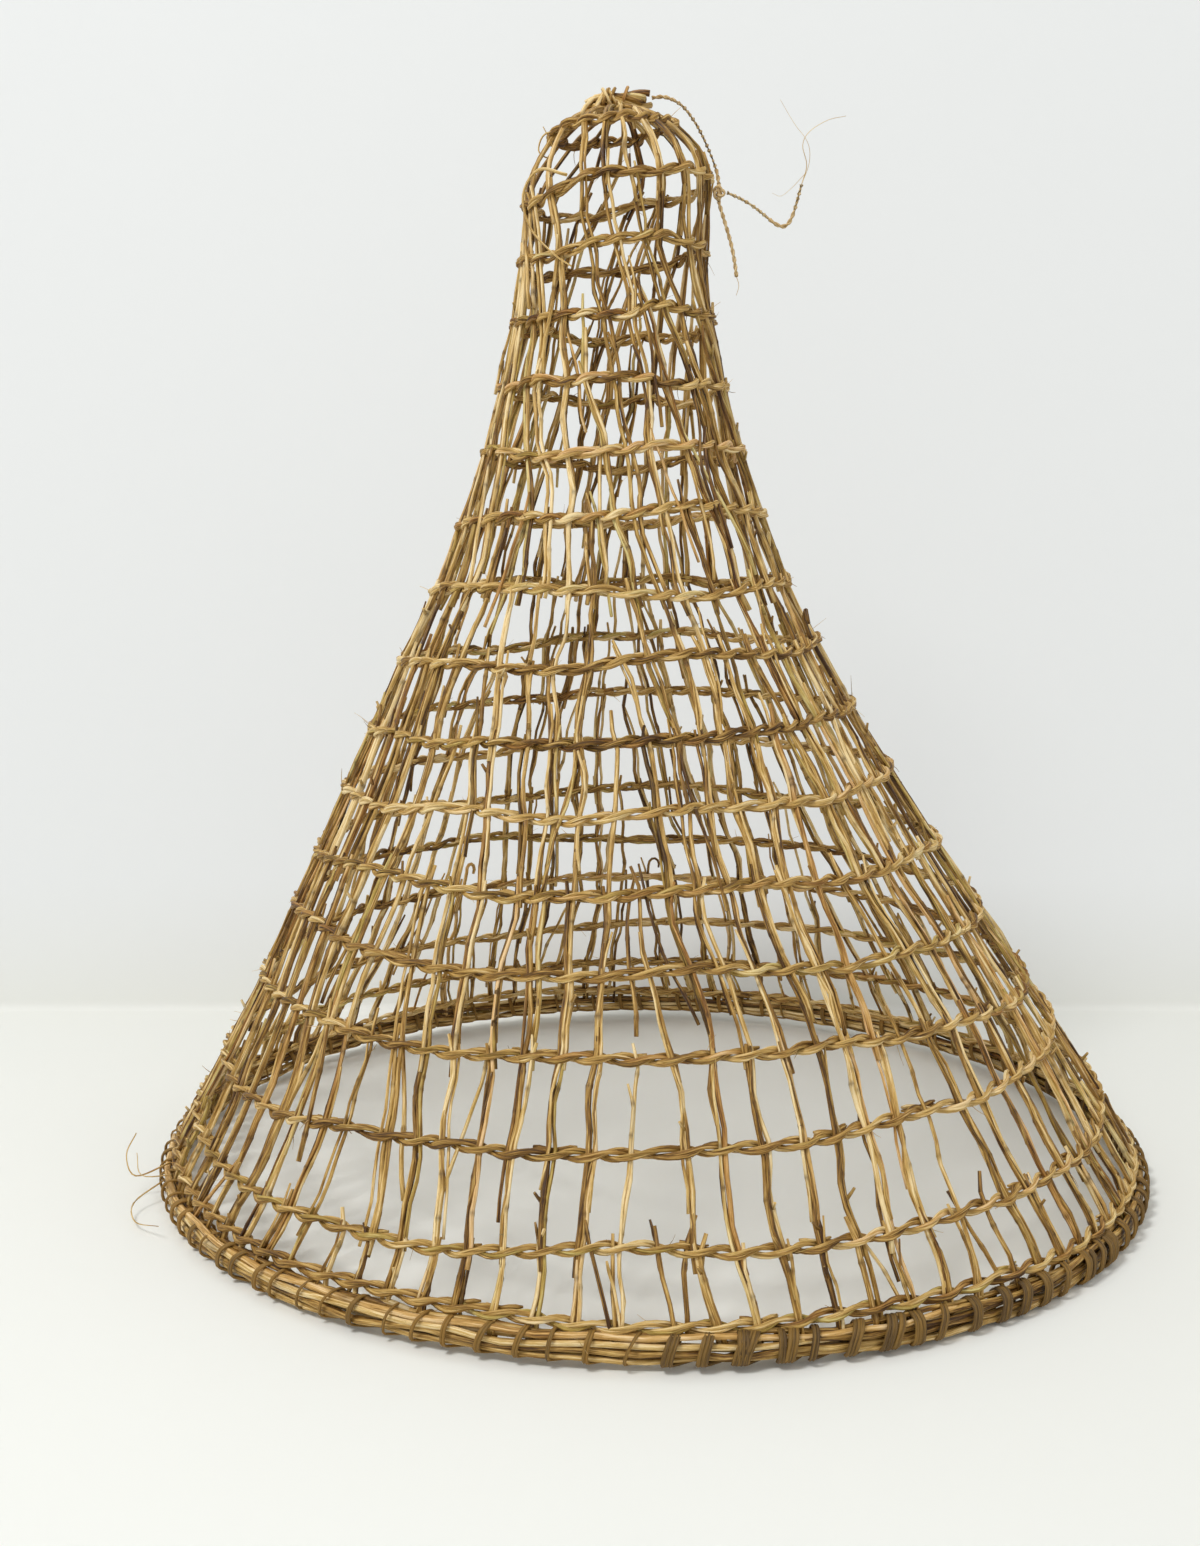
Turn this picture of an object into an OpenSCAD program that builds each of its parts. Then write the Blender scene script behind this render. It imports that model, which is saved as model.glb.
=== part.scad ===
// Conical openwork basket hat: upright stems ("ribs") held by seventeen rows of
// two-strand twining, closed at the crown and finished at the base with a lashed rim.
// Every stem is a piece of its own. The weave leans a little, and its neck is twisted.

/* [Outline] */
// Diameter of the rim, between the middles of its stems
rim_d = 444; // [340:2:560]
// Diameter of the wall at the shoulder, where the skirt meets the neck
shoulder_d = 158; // [130:2:200]
// Diameter of the wall at the collar, where the neck meets the crown
collar_d = 80; // [72:2:110]
// Diameter of the ring in which the crown stems end
crown_d = 21; // [19:1:30]
// Height of the shoulder above the floor
shoulder_z = 267; // [200:1:340]
// Height of the neck, from shoulder to collar
neck_h = 173; // [130:1:220]
// Height of the crown, from collar to the tips of its stems
crown_h = 35; // [30:1:50]
// How far the skirt's wall hollows inward between rim and shoulder
skirt_hollow = 3; // [1:0.5:8]
// How far the neck's wall hollows inward between shoulder and collar
neck_hollow = 10; // [4:0.5:14]
// Sideways lean of everything above the shoulder
lean = 18; // [0:1:30]
// Turn of the ribs between shoulder and crown, in degrees
twist = 48; // [0:1:60]

/* [Ribs] */
// Diameter of a neck stem
neck_stem_d = 3.4; // [2.4:0.1:4]
// Diameter of a skirt stem; two lie side by side in each rib
skirt_stem_d = 3; // [2:0.1:3.6]
// Diameter of a crown stem
crown_stem_d = 2.6; // [1.8:0.1:2.8]
// Length by which a stem's cut end stands past the row that holds it
stem_overrun = 9; // [5:0.5:11]

/* [Twining] */
// Width across the corners of a split weft strand
strand_d = 4; // [3:0.1:4.4]
// Height of the lowest of the evenly spaced rows
low_row_z = 35.5; // [32:0.5:60]
// Height of the top row above the collar
top_row_rise = 26; // [20:1:30]

/* [Rim] */
// Diameter of a rim stem; three lie outside the rib ends and three inside
rim_stem_d = 3.2; // [2.4:0.1:5]
// Diameter of the lashing around the rim
lashing_d = 2; // [1.4:0.1:3]
// Slant of each lashing loop, in degrees
lashing_slant = 12; // [0:1:15]

/* [Crown bundle and string] */
// Diameter of each of the four twisted stems on the crown
bundle_stem_d = 3; // [2:0.1:4]
// Length of the twisted bundle on the crown
bundle_len = 30; // [24:1:40]
// Diameter of the string
string_d = 2; // [1.6:0.1:2.4]

/* [Fits] */
// Gap between a strand and the stem that it holds
weave_gap = 0.3; // [0.2:0.05:0.5]
// Gap between two strands where one passes over the other
strand_gap = 0.8; // [0.6:0.05:1]
// Gap between two stems that lie side by side
stem_gap = 0.3; // [0.2:0.05:0.5]
// Gap between a skirt stem's lower end and the one that follows it
butt_gap = 2; // [1:0.5:4]
// Gap between the lashing and the row above it
hem_gap = 0.5; // [0.3:0.1:1]
// Gap between rib ends and rim stems
rim_gap = 0.5; // [0.3:0.1:0.8]

/* [Hidden] */

// Colours
RIB_TAN = [0.74, 0.60, 0.39];
RIB_PALE = [0.81, 0.69, 0.47];
STRAND_TAN = [0.66, 0.52, 0.32];
RIM_TAN = [0.70, 0.56, 0.36];
LASHING_BROWN = [0.42, 0.33, 0.21];
STRING_TAN = [0.62, 0.51, 0.35];

// The weave's plan: the crown's ribs, the ribs added at a time, and the rows where
// each added set starts. These are counts, so that every gap keeps two strands crossing.
crown_ribs_n = 20;
strand_lengths = 5;
ribs_added = 10;
level_rows = [1, 4, 7, 9, 10, 12, 14, 16];
last_level = len(level_rows) - 1;
collar_row = 2;
shoulder_row = 8;
low_row = 16;
hem_row = 17;

// Radii
rim_r = rim_d / 2;
shoulder_r = shoulder_d / 2;
collar_r = collar_d / 2;
crown_r = crown_d / 2;
strand_r = strand_d / 2;
// A split strand has three sides: its flats lie this far from its middle
strand_flat = strand_r / 2;
// and two strands, each turning as it passes the other, need this much between their middles
crossing = 2 * strand_r * cos(30) + strand_gap;

// Half the distance between two stems side by side
skirt_offset = (skirt_stem_d + stem_gap) / 2;
shoulder_offset = (neck_stem_d + skirt_stem_d + 4 * stem_gap) / 4;
collar_offset = (neck_stem_d + crown_stem_d + 4 * stem_gap) / 4;

// The rim's cross-section: stems out and in of the wall, and up and down it
rim_out = skirt_stem_d / 2 + rim_gap + rim_stem_d / 2;
rim_up = rim_stem_d + stem_gap;
rim_corner = norm([rim_out, rim_up]) + rim_stem_d / 2;
lashing_r = (rim_corner + stem_gap) / cos(lashing_slant) + lashing_d / 2;
rim_z = lashing_r * cos(lashing_slant) + lashing_d / 2;

// How gently the ribs' slant begins at the shoulder
twist_ease = 1.8;

// Heights
collar_z = shoulder_z + neck_h;
crown_z = collar_z + crown_h;
hem_row_z = 2 * rim_z + strand_r + crossing / 2 + hem_gap;

// The bundle on the crown, resting on the tips of the crown stems
bundle_stem_off = (bundle_stem_d / 2 + stem_gap) * sqrt(2);
bundle_r = bundle_stem_off + bundle_stem_d / 2;
bundle_z = crown_z + crown_stem_d / 2 + stem_gap + bundle_r;
bundle_end = 16;
bundle_start = bundle_end - bundle_len;
binding_d = 1.6;
binding_turns = 4;
binding_pitch = 2.2;

// The string, from the bundle's end over the crown's right side to the knot
knot_d = 6.4;
knot_at = [28, -13, 438];
string_points = [[-1, -1, 481], [5, -2, 481], [12, -4, 477], [18, -6, 469], [23, -8, 459], [27, -11, 448],
                 [28, -13, 441.7]];
// The two free tails of the string
short_tail = [[28, -13, 434.3], [29, -14, 429], [31, -15, 424], [33, -15, 419], [35, -15, 413], [36, -15, 407],
              [36, -15, 402]];
long_tail = [[31.7, -13, 438], [37, -14, 437], [42, -15, 434], [47, -15, 430], [51, -15, 425], [55, -15, 421],
             [58, -15, 419], [60, -15, 423], [61, -15, 429], [62, -15, 435], [64, -15, 441]];

function lerp(a, b, t) = a + (b - a) * t;
function unit(v) = v / norm(v);
function clamp01(t) = max(0, min(1, t));

// ---- The wall -------------------------------------------------------------------------

function row_z(row) =
  row < collar_row ? collar_z + top_row_rise :
  row <= shoulder_row ? lerp(collar_z, shoulder_z, (row - collar_row) / (shoulder_row - collar_row)) :
  row <= low_row ? lerp(shoulder_z, low_row_z, (row - shoulder_row) / (low_row - shoulder_row)) :
  hem_row_z;

// A run from a to b that bows inward by hollow at its middle
function hollow_run(a, b, hollow, t) = lerp(a, b, t) - 4 * hollow * t * (1 - t);

function wall_radius(z) =
  z <= shoulder_z ? hollow_run(rim_r, shoulder_r, skirt_hollow, (z - rim_z) / (shoulder_z - rim_z)) :
  z <= collar_z ? hollow_run(shoulder_r, collar_r, neck_hollow, (z - shoulder_z) / neck_h) :
  lerp(crown_r, collar_r, sqrt(max(0, 1 - pow((z - collar_z) / crown_h, 2))));

function lean_at(z) = -lean * (1 - cos(180 * clamp01((z - rim_z) / (shoulder_z - rim_z)))) / 2;
function twist_at(z) = twist * pow(max(0, (z - shoulder_z) / (row_z(1) - shoulder_z)), twist_ease);

// A point of the wall; off moves it sideways, along the row
function wall(az, z, off = 0) = let(a = az + twist_at(z), r = wall_radius(z))
  [lean_at(z) + r * cos(a) - off * sin(a), r * sin(a) + off * cos(a), z];

// ---- Where the ribs stand -----------------------------------------------------------

// The ribs stand in ribs_added equal sectors. Each level adds one rib at the middle of every
// sector, and new_place says where that comes in the sector's order. The others move aside.
new_place = [undef, 1, 1, 2, 2, 3, 3, 4, 4];
function ribs_in(level) = crown_ribs_n + ribs_added * level;
function in_sector(level) = ribs_in(level) / ribs_added;
function is_new(level, i) = level > 0 && i % in_sector(level) == new_place[level];
function sector_of(level, i) = floor(i / in_sector(level));
function place_in(level, i) = i - sector_of(level, i) * in_sector(level);
// -1 for a rib in the first half of its sector, 1 in the second
function half_of(level, i) = place_in(level, i) + 0.5 < in_sector(level) / 2 ? -1 : 1;
// The same rib's number one level up or down
function above(level, i) = let(at = place_in(level, i))
  sector_of(level, i) * in_sector(level - 1) + (at < new_place[level] ? at : at - 1);
function below(level, i) = let(at = place_in(level, i))
  sector_of(level, i) * in_sector(level + 1) + (at < new_place[level + 1] ? at : at + 1);
function born(level, i) = level == 0 || is_new(level, i) ? [level, i] : born(level - 1, above(level, i));
function rank_at(level, i, to) = level == to ? i : rank_at(level + 1, below(level, i), to);
function level_of(row) = len([for (r = level_rows) if (r <= row) r]) - 1;

// Ribs are evenly spaced at the row where their level starts, and drift from there to
// their places in the next level's order, the last ones too
function even_azimuth(level, i) = 360 * (i + 0.5) / ribs_in(level);
function azimuth(level, i, z) =
  let(top = row_z(level_rows[level]),
      bottom = level == last_level ? 2 * top - row_z(level_rows[level - 1]) : row_z(level_rows[level + 1]))
  z < bottom && level < last_level ? azimuth(level + 1, below(level, i), z) :
  lerp(even_azimuth(level, i), even_azimuth(level + 1, below(level, i)), clamp01((top - z) / (top - bottom)));

// ---- Arcs: each stem is one round arc through three points of the wall --------------

// [centre, direction of the first point, direction a quarter turn on, radius]
function arc_through(p, q, r) =
  let(u = q - p, v = r - p, w = cross(u, v),
      c = p + (v * v * cross(w, u) + u * u * cross(v, w)) / (2 * w * w), x = unit(p - c))
  [c, x, cross(unit(w), x), norm(p - c)];
function arc_angle(arc, z) =
  let(a = arc[1][2], b = arc[2][2], turn = atan2(b, a) + acos((z - arc[0][2]) / arc[3] / norm([a, b])))
  turn - 360 * round(turn / 360);
function arc_point(arc, z) = let(t = arc_angle(arc, z)) arc[0] + arc[3] * (cos(t) * arc[1] + sin(t) * arc[2]);

// An arc through rib i's places at three heights, moved sideways by off at each
function rib_arc(level, i, z, off) =
  arc_through(wall(azimuth(level, i, z[0]), z[0], off[0]), wall(azimuth(level, i, z[1]), z[1], off[1]),
              wall(azimuth(level, i, z[2]), z[2], off[2]));

// Where one stem takes over from another its end is tucked in this far below the row's middle
tuck = 4;

// Crown stems end just below the collar row, beside the tops of the neck stems
crown_arcs = [for (i = [0 : ribs_in(0) - 1])
  rib_arc(0, i, [crown_z, row_z(1), collar_z], -collar_offset * [0, 0.7, 1])];

// Neck stems run from the row where their rib is added to the shoulder row
neck_level = level_of(shoulder_row);
function neck_top_row(level) = max(collar_row, level_rows[level]);
neck_foot_z = shoulder_z - tuck;
neck_arcs = [for (i = [0 : ribs_in(neck_level) - 1])
  let(b = born(neck_level, i), top = row_z(neck_top_row(b[0])), short = neck_top_row(b[0]) == shoulder_row - 1)
  rib_arc(b[0], b[1], [top, (top + neck_foot_z) / 2, neck_foot_z],
          [b[0] == 0 ? collar_offset : 0, short ? half_of(neck_level, i) * shoulder_offset / 2 : 0,
           half_of(neck_level, i) * shoulder_offset])];

// In the skirt each level brings a new stem to every rib, and it lasts for two levels. So two
// stems lie side by side in a rib, one of this level and one of the last, on alternate sides.
// The two halves of a sector mirror each other, so that drifting stems bow away from each other.
function skirt_row(level) = level > last_level ? hem_row : max(shoulder_row, level_rows[level]);
function skirt_heights(level) = level == last_level ? [row_z(low_row), (row_z(low_row) + rim_z) / 2, rim_z] :
  [row_z(skirt_row(level)), row_z(skirt_row(level + 1)), level == last_level - 1 ? rim_z : row_z(skirt_row(level + 2))];
skirt_arcs = [for (level = [0 : last_level]) level < neck_level ? [] :
  [for (i = [0 : ribs_in(level) - 1]) let(off = (level % 2 == 0 ? -1 : 1) * half_of(level, i) * skirt_offset)
    rib_arc(level, i, skirt_heights(level), [off * (level == neck_level ? shoulder_offset / skirt_offset : 1), off, off])]];

// The stems that make up rib i where a row crosses it, i counted in the row's level
function stems_at(row, i) = let(level = level_of(row), neck = rank_at(level, i, max(level, neck_level)))
  row < collar_row ? [crown_arcs[i]] :
  row == collar_row ? [crown_arcs[i], neck_arcs[neck]] :
  row < shoulder_row ? [neck_arcs[neck]] :
  row == shoulder_row ? [skirt_arcs[level][i], neck_arcs[neck]] :
  is_new(level, i) ? [skirt_arcs[level][i]] : [skirt_arcs[level][i], skirt_arcs[level - 1][above(level, i)]];
function rib_point(row, i, z) = let(stems = stems_at(row, i), p = arc_point(stems[0], z))
  len(stems) == 1 ? p : (p + arc_point(stems[1], z)) / 2;
// Half the distance between the rib's two stems where a strand crosses them, or nothing for one
function rib_offset(row, i, z) = let(stems = stems_at(row, i))
  len(stems) == 1 ? 0 : max([for (h = [-1, 1] * strand_d) norm(arc_point(stems[1], z + h) - arc_point(stems[0], z + h)) / 2]);

module place(x, y, origin) {
  z = cross(x, y);
  multmatrix([[x[0], y[0], z[0], origin[0]], [x[1], y[1], z[1], origin[1]], [x[2], y[2], z[2], origin[2]],
              [0, 0, 0, 1]]) children();
}

// A round stem along an arc, between two angles
module stem(arc, from, to, d) {
  place(arc[1], arc[2], arc[0]) rotate([0, 0, from])
    rotate_extrude(angle = to - from, $fn = ceil(12 * 360 / (to - from))) translate([arc[3], 0]) circle(d = d, $fn = 24);
}

// ---- Twining ------------------------------------------------------------------------

function stem_r(row) = (row < collar_row ? crown_stem_d : row <= shoulder_row ? neck_stem_d : skirt_stem_d) / 2;

// How deep a strand bends behind a rib so that both of its straights clear the stems, where each
// straight comes forward again over the length run
function inner_depth(reach, off, run, depth, tries = 6) = tries == 0 ? depth :
  let(slope = (reach + depth) / run)
  inner_depth(reach, off, run, reach * norm([1, slope]) + off * slope, tries - 1);

// The bends of one strand from rib first to rib last: [point, outward normal, turn of section].
// It lies over every other rib, rising along it as it crosses, and behind those between.
function strand_bends(row, first, last, k) =
  let(z = row_z(row), n = ribs_in(level_of(row)), reach = stem_r(row) + strand_flat + weave_gap)
  [for (i = [first : last])
    let(p = rib_point(row, (i + n) % n, z), off = rib_offset(row, (i + n) % n, z),
        next = rib_point(row, (i + 1 + n) % n, z), before = rib_point(row, (i - 1 + n) % n, z),
        gaps = [norm(before - p), norm(next - p)], gap = min(gaps), side = unit(next - before),
        along = rib_point(row, (i + n) % n, z + 1) - rib_point(row, (i + n) % n, z - 1),
        out = unit(cross(side, along)), up = along / (along * cross(out, side)),
        widest = max([for (j = [i - 1 : i + 1]) rib_offset(row, (j + n) % n, z)]),
        edge = off + 0.5 * strand_r, run = gap - widest - 0.5 * (strand_r + reach),
        depth = inner_depth(reach, off, run, reach),
        half = edge + reach * tan(atan((reach + depth) / run) / 2))
    each (i + k) % 2 == 0 ?
      [for (e = [0, 1]) let(lift = (1 - half / gaps[e]) / sqrt(pow(crossing, -2) - pow(gaps[e], -2)))
        [p + reach * out + (2 * e - 1) * (half * side + lift * up), out, 60 * (i + k)]] :
      [[p - depth * out, out, 60 * (i + k)]]];

// The same bends with the two ends drawn back, so that two lengths of strand meet behind a rib
splice_gap = 2.5;
function pulled(a, b) = [a[0] + splice_gap * unit(b[0] - a[0]), a[1], a[2]];
function trimmed(bends) = let(m = len(bends))
  [for (i = [0 : m - 1]) i == 0 ? pulled(bends[0], bends[1]) : i == m - 1 ? pulled(bends[m - 1], bends[m - 2]) : bends[i]];

// A tube of few sides through [point, normal, turn] places
module sweep(path, r, sides) {
  m = len(path);
  points = [for (i = [0 : m - 1])
    let(t = unit(unit(path[min(i + 1, m - 1)][0] - path[i == m - 1 ? m - 2 : i][0])
                 + unit(path[i == 0 ? 1 : i][0] - path[max(i - 1, 0)][0])),
        b = unit(cross(t, path[i][1])), n = cross(b, t))
    for (s = [0 : sides - 1]) let(a = path[i][2] + 360 * s / sides) path[i][0] + r * (cos(a) * n + sin(a) * b)];
  faces = concat([[for (s = [0 : sides - 1]) s]], [[for (s = [sides - 1 : -1 : 0]) (m - 1) * sides + s]],
    [for (i = [0 : m - 2], s = [0 : sides - 1])
      let(here = i * sides + s, there = here + sides, beside = i * sides + (s + 1) % sides)
      each [[there, beside, here], [there, beside + sides, beside]]]);
  polyhedron(points, faces);
}

// Each of a row's two strands is pieced from several lengths, whose ends meet behind ribs
module twined_row(row) {
  n = ribs_in(level_of(row));
  each_length = n / strand_lengths;
  color(STRAND_TAN)
    for (k = [0, 1], piece = [0 : strand_lengths - 1]) {
      first = 2 * (row % 3) + 1 + 3 * k + piece * each_length;
      sweep(trimmed(strand_bends(row, first, first + each_length, k)), strand_r, 3);
    }
}

// ---- Ribs ---------------------------------------------------------------------------

module crown_ribs() color(RIB_PALE)
  for (arc = crown_arcs) stem(arc, 0, arc_angle(arc, collar_z - tuck), crown_stem_d);

module neck_stems(added)
  for (i = [0 : ribs_in(neck_level) - 1]) {
    level = born(neck_level, i)[0];
    if ((level > 0) == added)
      stem(neck_arcs[i], arc_angle(neck_arcs[i], row_z(neck_top_row(level)) + stem_overrun),
           arc_angle(neck_arcs[i], neck_foot_z), neck_stem_d);
  }
module neck_ribs() color(RIB_TAN) neck_stems(false);
module neck_ribs_added() color(RIB_PALE) neck_stems(true);

// A level's skirt stems end just above the stems that follow in their place, or in the rim.
// Only a new rib's top stands well above its row.
module skirt_ribs(level) {
  bottom = level >= last_level - 1 ? rim_z - rim_up : row_z(skirt_row(level + 2)) + tuck + butt_gap;
  color(level % 2 == 0 ? RIB_TAN : RIB_PALE)
    for (i = [0 : ribs_in(level) - 1]) let(arc = skirt_arcs[level][i],
        overrun = is_new(level, i) && level > neck_level ? stem_overrun : tuck)
      stem(arc, arc_angle(arc, row_z(skirt_row(level)) + overrun), arc_angle(arc, bottom), skirt_stem_d);
}

// ---- Rim ----------------------------------------------------------------------------

// The wall's tilt from upright where it meets the rim
rim_tilt = atan((wall_radius(rim_z - 1) - wall_radius(rim_z + 1)) / 2);

// Three stems one above another, each pieced from several lengths with staggered joints
module rim_stems(side) {
  joint = 1.5;
  span = 360 / strand_lengths;
  for (up = [-1 : 1], piece = [0 : strand_lengths - 1]) {
    r = rim_r + side * rim_out * cos(rim_tilt) - up * rim_up * sin(rim_tilt);
    z = rim_z + side * rim_out * sin(rim_tilt) + up * rim_up * cos(rim_tilt);
    translate([0, 0, z]) rotate([0, 0, piece * span + up * span / 3 + side * span / 6])
      rotate_extrude(angle = span - joint / r * 180 / PI, $fn = 180) translate([r, 0]) circle(d = rim_stem_d, $fn = 24);
  }
}
module rim_outer_stems() color(RIM_TAN) rim_stems(1);
module rim_inner_stems() color(RIM_TAN) rim_stems(-1);

// One loop in each gap between the rib ends
module rim_lashing() {
  n = ribs_in(last_level);
  color(LASHING_BROWN)
    for (i = [0 : n - 1])
      rotate([0, 0, (azimuth(last_level, i, rim_z) + azimuth(last_level, (i + 1) % n, rim_z) + (i == n - 1 ? 360 : 0)) / 2])
      translate([rim_r, 0, rim_z]) rotate([90 + lashing_slant, 0, 0])
      rotate_extrude($fn = 72) translate([lashing_r, 0]) circle(d = lashing_d, $fn = 24);
}

// ---- Crown bundle and string --------------------------------------------------------

// Four stems twisted about each other
module crown_bundle() {
  rings = 8;
  color(RIB_TAN)
    translate([-lean, 0, bundle_z])
      for (k = [0 : 3])
        sweep([for (i = [0 : rings]) let(a = 90 * k + 15 * i)
          [[bundle_start + bundle_len * i / rings, bundle_stem_off * cos(a), bundle_stem_off * sin(a)], [0, 0, 1], 30]],
          bundle_stem_d / 2, 6);
}

// Turns of string around the bundle, over the open middle of the crown
module crown_binding() {
  color(STRING_TAN)
    for (i = [0 : binding_turns - 1])
      translate([-lean + (i - (binding_turns - 1) / 2) * binding_pitch, 0, bundle_z]) rotate([0, 90, 0])
        rotate_extrude($fn = 72) translate([bundle_r + stem_gap + binding_d / 2, 0]) circle(d = binding_d, $fn = 24);
}

module cord(points) sweep([for (p = points) [p, unit([0.1, 1, 0.2]), 22.5]], string_d / 2, 8);
module crown_string() color(STRING_TAN) cord(string_points);
module tie_knot() color(STRING_TAN) translate(knot_at) sphere(d = knot_d, $fn = 48);
module string_tail_short() color(STRING_TAN) cord(short_tail);
module string_tail_long() color(STRING_TAN) cord(long_tail);

crown_ribs();
neck_ribs();
neck_ribs_added();
skirt_ribs(2);  // skirt_ribs_08
skirt_ribs(3);  // skirt_ribs_09
skirt_ribs(4);  // skirt_ribs_10
skirt_ribs(5);  // skirt_ribs_12
skirt_ribs(6);  // skirt_ribs_14
skirt_ribs(7);  // skirt_ribs_16
twined_row(1);  // twined_row_01
twined_row(2);  // twined_row_02
twined_row(3);  // twined_row_03
twined_row(4);  // twined_row_04
twined_row(5);  // twined_row_05
twined_row(6);  // twined_row_06
twined_row(7);  // twined_row_07
twined_row(8);  // twined_row_08
twined_row(9);  // twined_row_09
twined_row(10);  // twined_row_10
twined_row(11);  // twined_row_11
twined_row(12);  // twined_row_12
twined_row(13);  // twined_row_13
twined_row(14);  // twined_row_14
twined_row(15);  // twined_row_15
twined_row(16);  // twined_row_16
twined_row(17);  // twined_row_17
rim_outer_stems();
rim_inner_stems();
rim_lashing();
crown_bundle();
crown_binding();
crown_string();
tie_knot();
string_tail_short();
string_tail_long();
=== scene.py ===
"""Gives an openwork basket hat its finish: rib stems, twined rows, lashed rim, crown, string and stage."""

import math
import random

import bmesh
import bpy
import numpy as np
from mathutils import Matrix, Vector, noise


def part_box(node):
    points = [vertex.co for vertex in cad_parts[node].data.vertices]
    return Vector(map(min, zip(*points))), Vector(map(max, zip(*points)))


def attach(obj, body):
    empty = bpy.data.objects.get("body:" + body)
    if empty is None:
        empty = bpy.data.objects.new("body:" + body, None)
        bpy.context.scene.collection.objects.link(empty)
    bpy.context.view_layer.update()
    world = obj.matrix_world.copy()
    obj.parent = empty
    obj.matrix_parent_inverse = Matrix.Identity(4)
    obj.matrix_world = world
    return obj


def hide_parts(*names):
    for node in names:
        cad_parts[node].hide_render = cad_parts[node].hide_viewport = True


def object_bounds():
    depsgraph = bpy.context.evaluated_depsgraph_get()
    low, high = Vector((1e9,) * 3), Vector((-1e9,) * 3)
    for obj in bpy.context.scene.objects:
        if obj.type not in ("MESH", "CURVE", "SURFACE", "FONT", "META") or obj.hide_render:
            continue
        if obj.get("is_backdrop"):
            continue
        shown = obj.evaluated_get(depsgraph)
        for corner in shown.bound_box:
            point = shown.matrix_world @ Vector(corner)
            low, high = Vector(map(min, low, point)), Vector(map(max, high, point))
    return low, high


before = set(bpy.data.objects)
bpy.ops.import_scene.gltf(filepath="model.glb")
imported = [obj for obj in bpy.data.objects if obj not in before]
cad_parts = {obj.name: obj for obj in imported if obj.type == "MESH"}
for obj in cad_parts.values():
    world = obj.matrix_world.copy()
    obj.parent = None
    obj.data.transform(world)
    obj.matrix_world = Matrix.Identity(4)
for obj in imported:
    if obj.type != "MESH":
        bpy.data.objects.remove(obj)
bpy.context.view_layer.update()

bl_info = {
    "name": "Openwork Basket Hat",
    "version": (1, 0, 0),
    "blender": (4, 5, 0),
    "location": "View3D > Sidebar > Basket Hat",
    "description": "Lays the stems, twining, rim and string of an openwork basket hat around its frame",
    "category": "Object",
}

MM = 0.001
UP = np.array((0.0, 0.0, 1.0))

# The weave's plan: ribs in the crown, ribs added at a time, the rows where each added set starts,
# and the place a new rib takes in its sector
CROWN_RIBS = 20
RIBS_ADDED = 10
LEVEL_ROWS = (1, 4, 7, 9, 10, 12, 14, 16)
NEW_PLACE = (None, 1, 1, 2, 2, 3, 3, 4, 4)
LAST_LEVEL = len(LEVEL_ROWS) - 1
NECK_LEVEL = 2
COLLAR_ROW, SHOULDER_ROW, HEM_ROW = 2, 8, 17
# How far the neck's ribs turn on their way up, in degrees; the front ones move to the left
TWIST, TWIST_EASE = -48, 1.8
# How far a row stands out of the middle of the wall in the frame
ROW_STANDS = 4.9 * MM
# How much lower than its middle each row hangs on the left, from row 1 down
ROW_TILT = (2, 6, 4, 0.5, 0, 1, 3, 2, 4.5, 5, 4, 2.5, -1, 0.5, 8, 4, -1.5)

# The string's way over the crown and its two tails in millimetres, as in the frame
STRING_POINTS = [(-1, -1, 481), (5, -2, 481), (12, -4, 477), (18, -6, 469), (23, -8, 459),
                 (27, -11, 448), (28, -13, 441.7)]
SHORT_TAIL = [(28, -13, 434.3), (29, -14, 429), (31, -15, 424), (33, -15, 419), (35, -15, 413),
              (36, -15, 407), (36, -15, 402)]
LONG_TAIL = [(31.7, -13, 438), (37, -14, 437), (42, -15, 434), (47, -15, 430), (51, -15, 425),
             (55, -15, 421), (58, -15, 419), (60, -15, 423), (61, -15, 429), (62, -15, 435),
             (64, -15, 441)]
STRING_PITCH = 6.5 * MM


# ---- Sizes and colours --------------------------------------------------------------------------

def linear(red, green, blue):
    """A colour given in 0 to 255, as the renderer counts it."""
    return tuple(((c / 255 + 0.055) / 1.055) ** 2.4 for c in (red, green, blue))


def length(name, description, default):
    return bpy.props.FloatProperty(name=name, description=description, default=default, min=0,
                                   precision=5, unit="LENGTH", subtype="DISTANCE")


def colour(name, description, *default):
    return bpy.props.FloatVectorProperty(name=name, description=description, default=linear(*default),
                                         min=0, max=1, size=3, subtype="COLOR")


class BasketSizes(bpy.types.PropertyGroup):
    stem: length("Rib stem", "Diameter of the main stems in a rib", 2.2 * MM)
    shoot: length("Thin stem", "Diameter of the thin stems that lie along the main ones", 1.5 * MM)
    split: length("Split weft", "Diameter of each half of a weft strand", 1.75 * MM)
    rim_stem: length("Rim stem", "Diameter of a stem in the rim", 2.8 * MM)
    lashing: length("Lashing", "Diameter of a lashing cord around the rim", 1.35 * MM)
    string: length("String", "Diameter of the two-ply string", 2.0 * MM)
    sway: length("Sway", "How far a rib strays to its sides", 2.2 * MM)
    wave: length("Wave", "How far a row strays up and down", 2.2 * MM)


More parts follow.
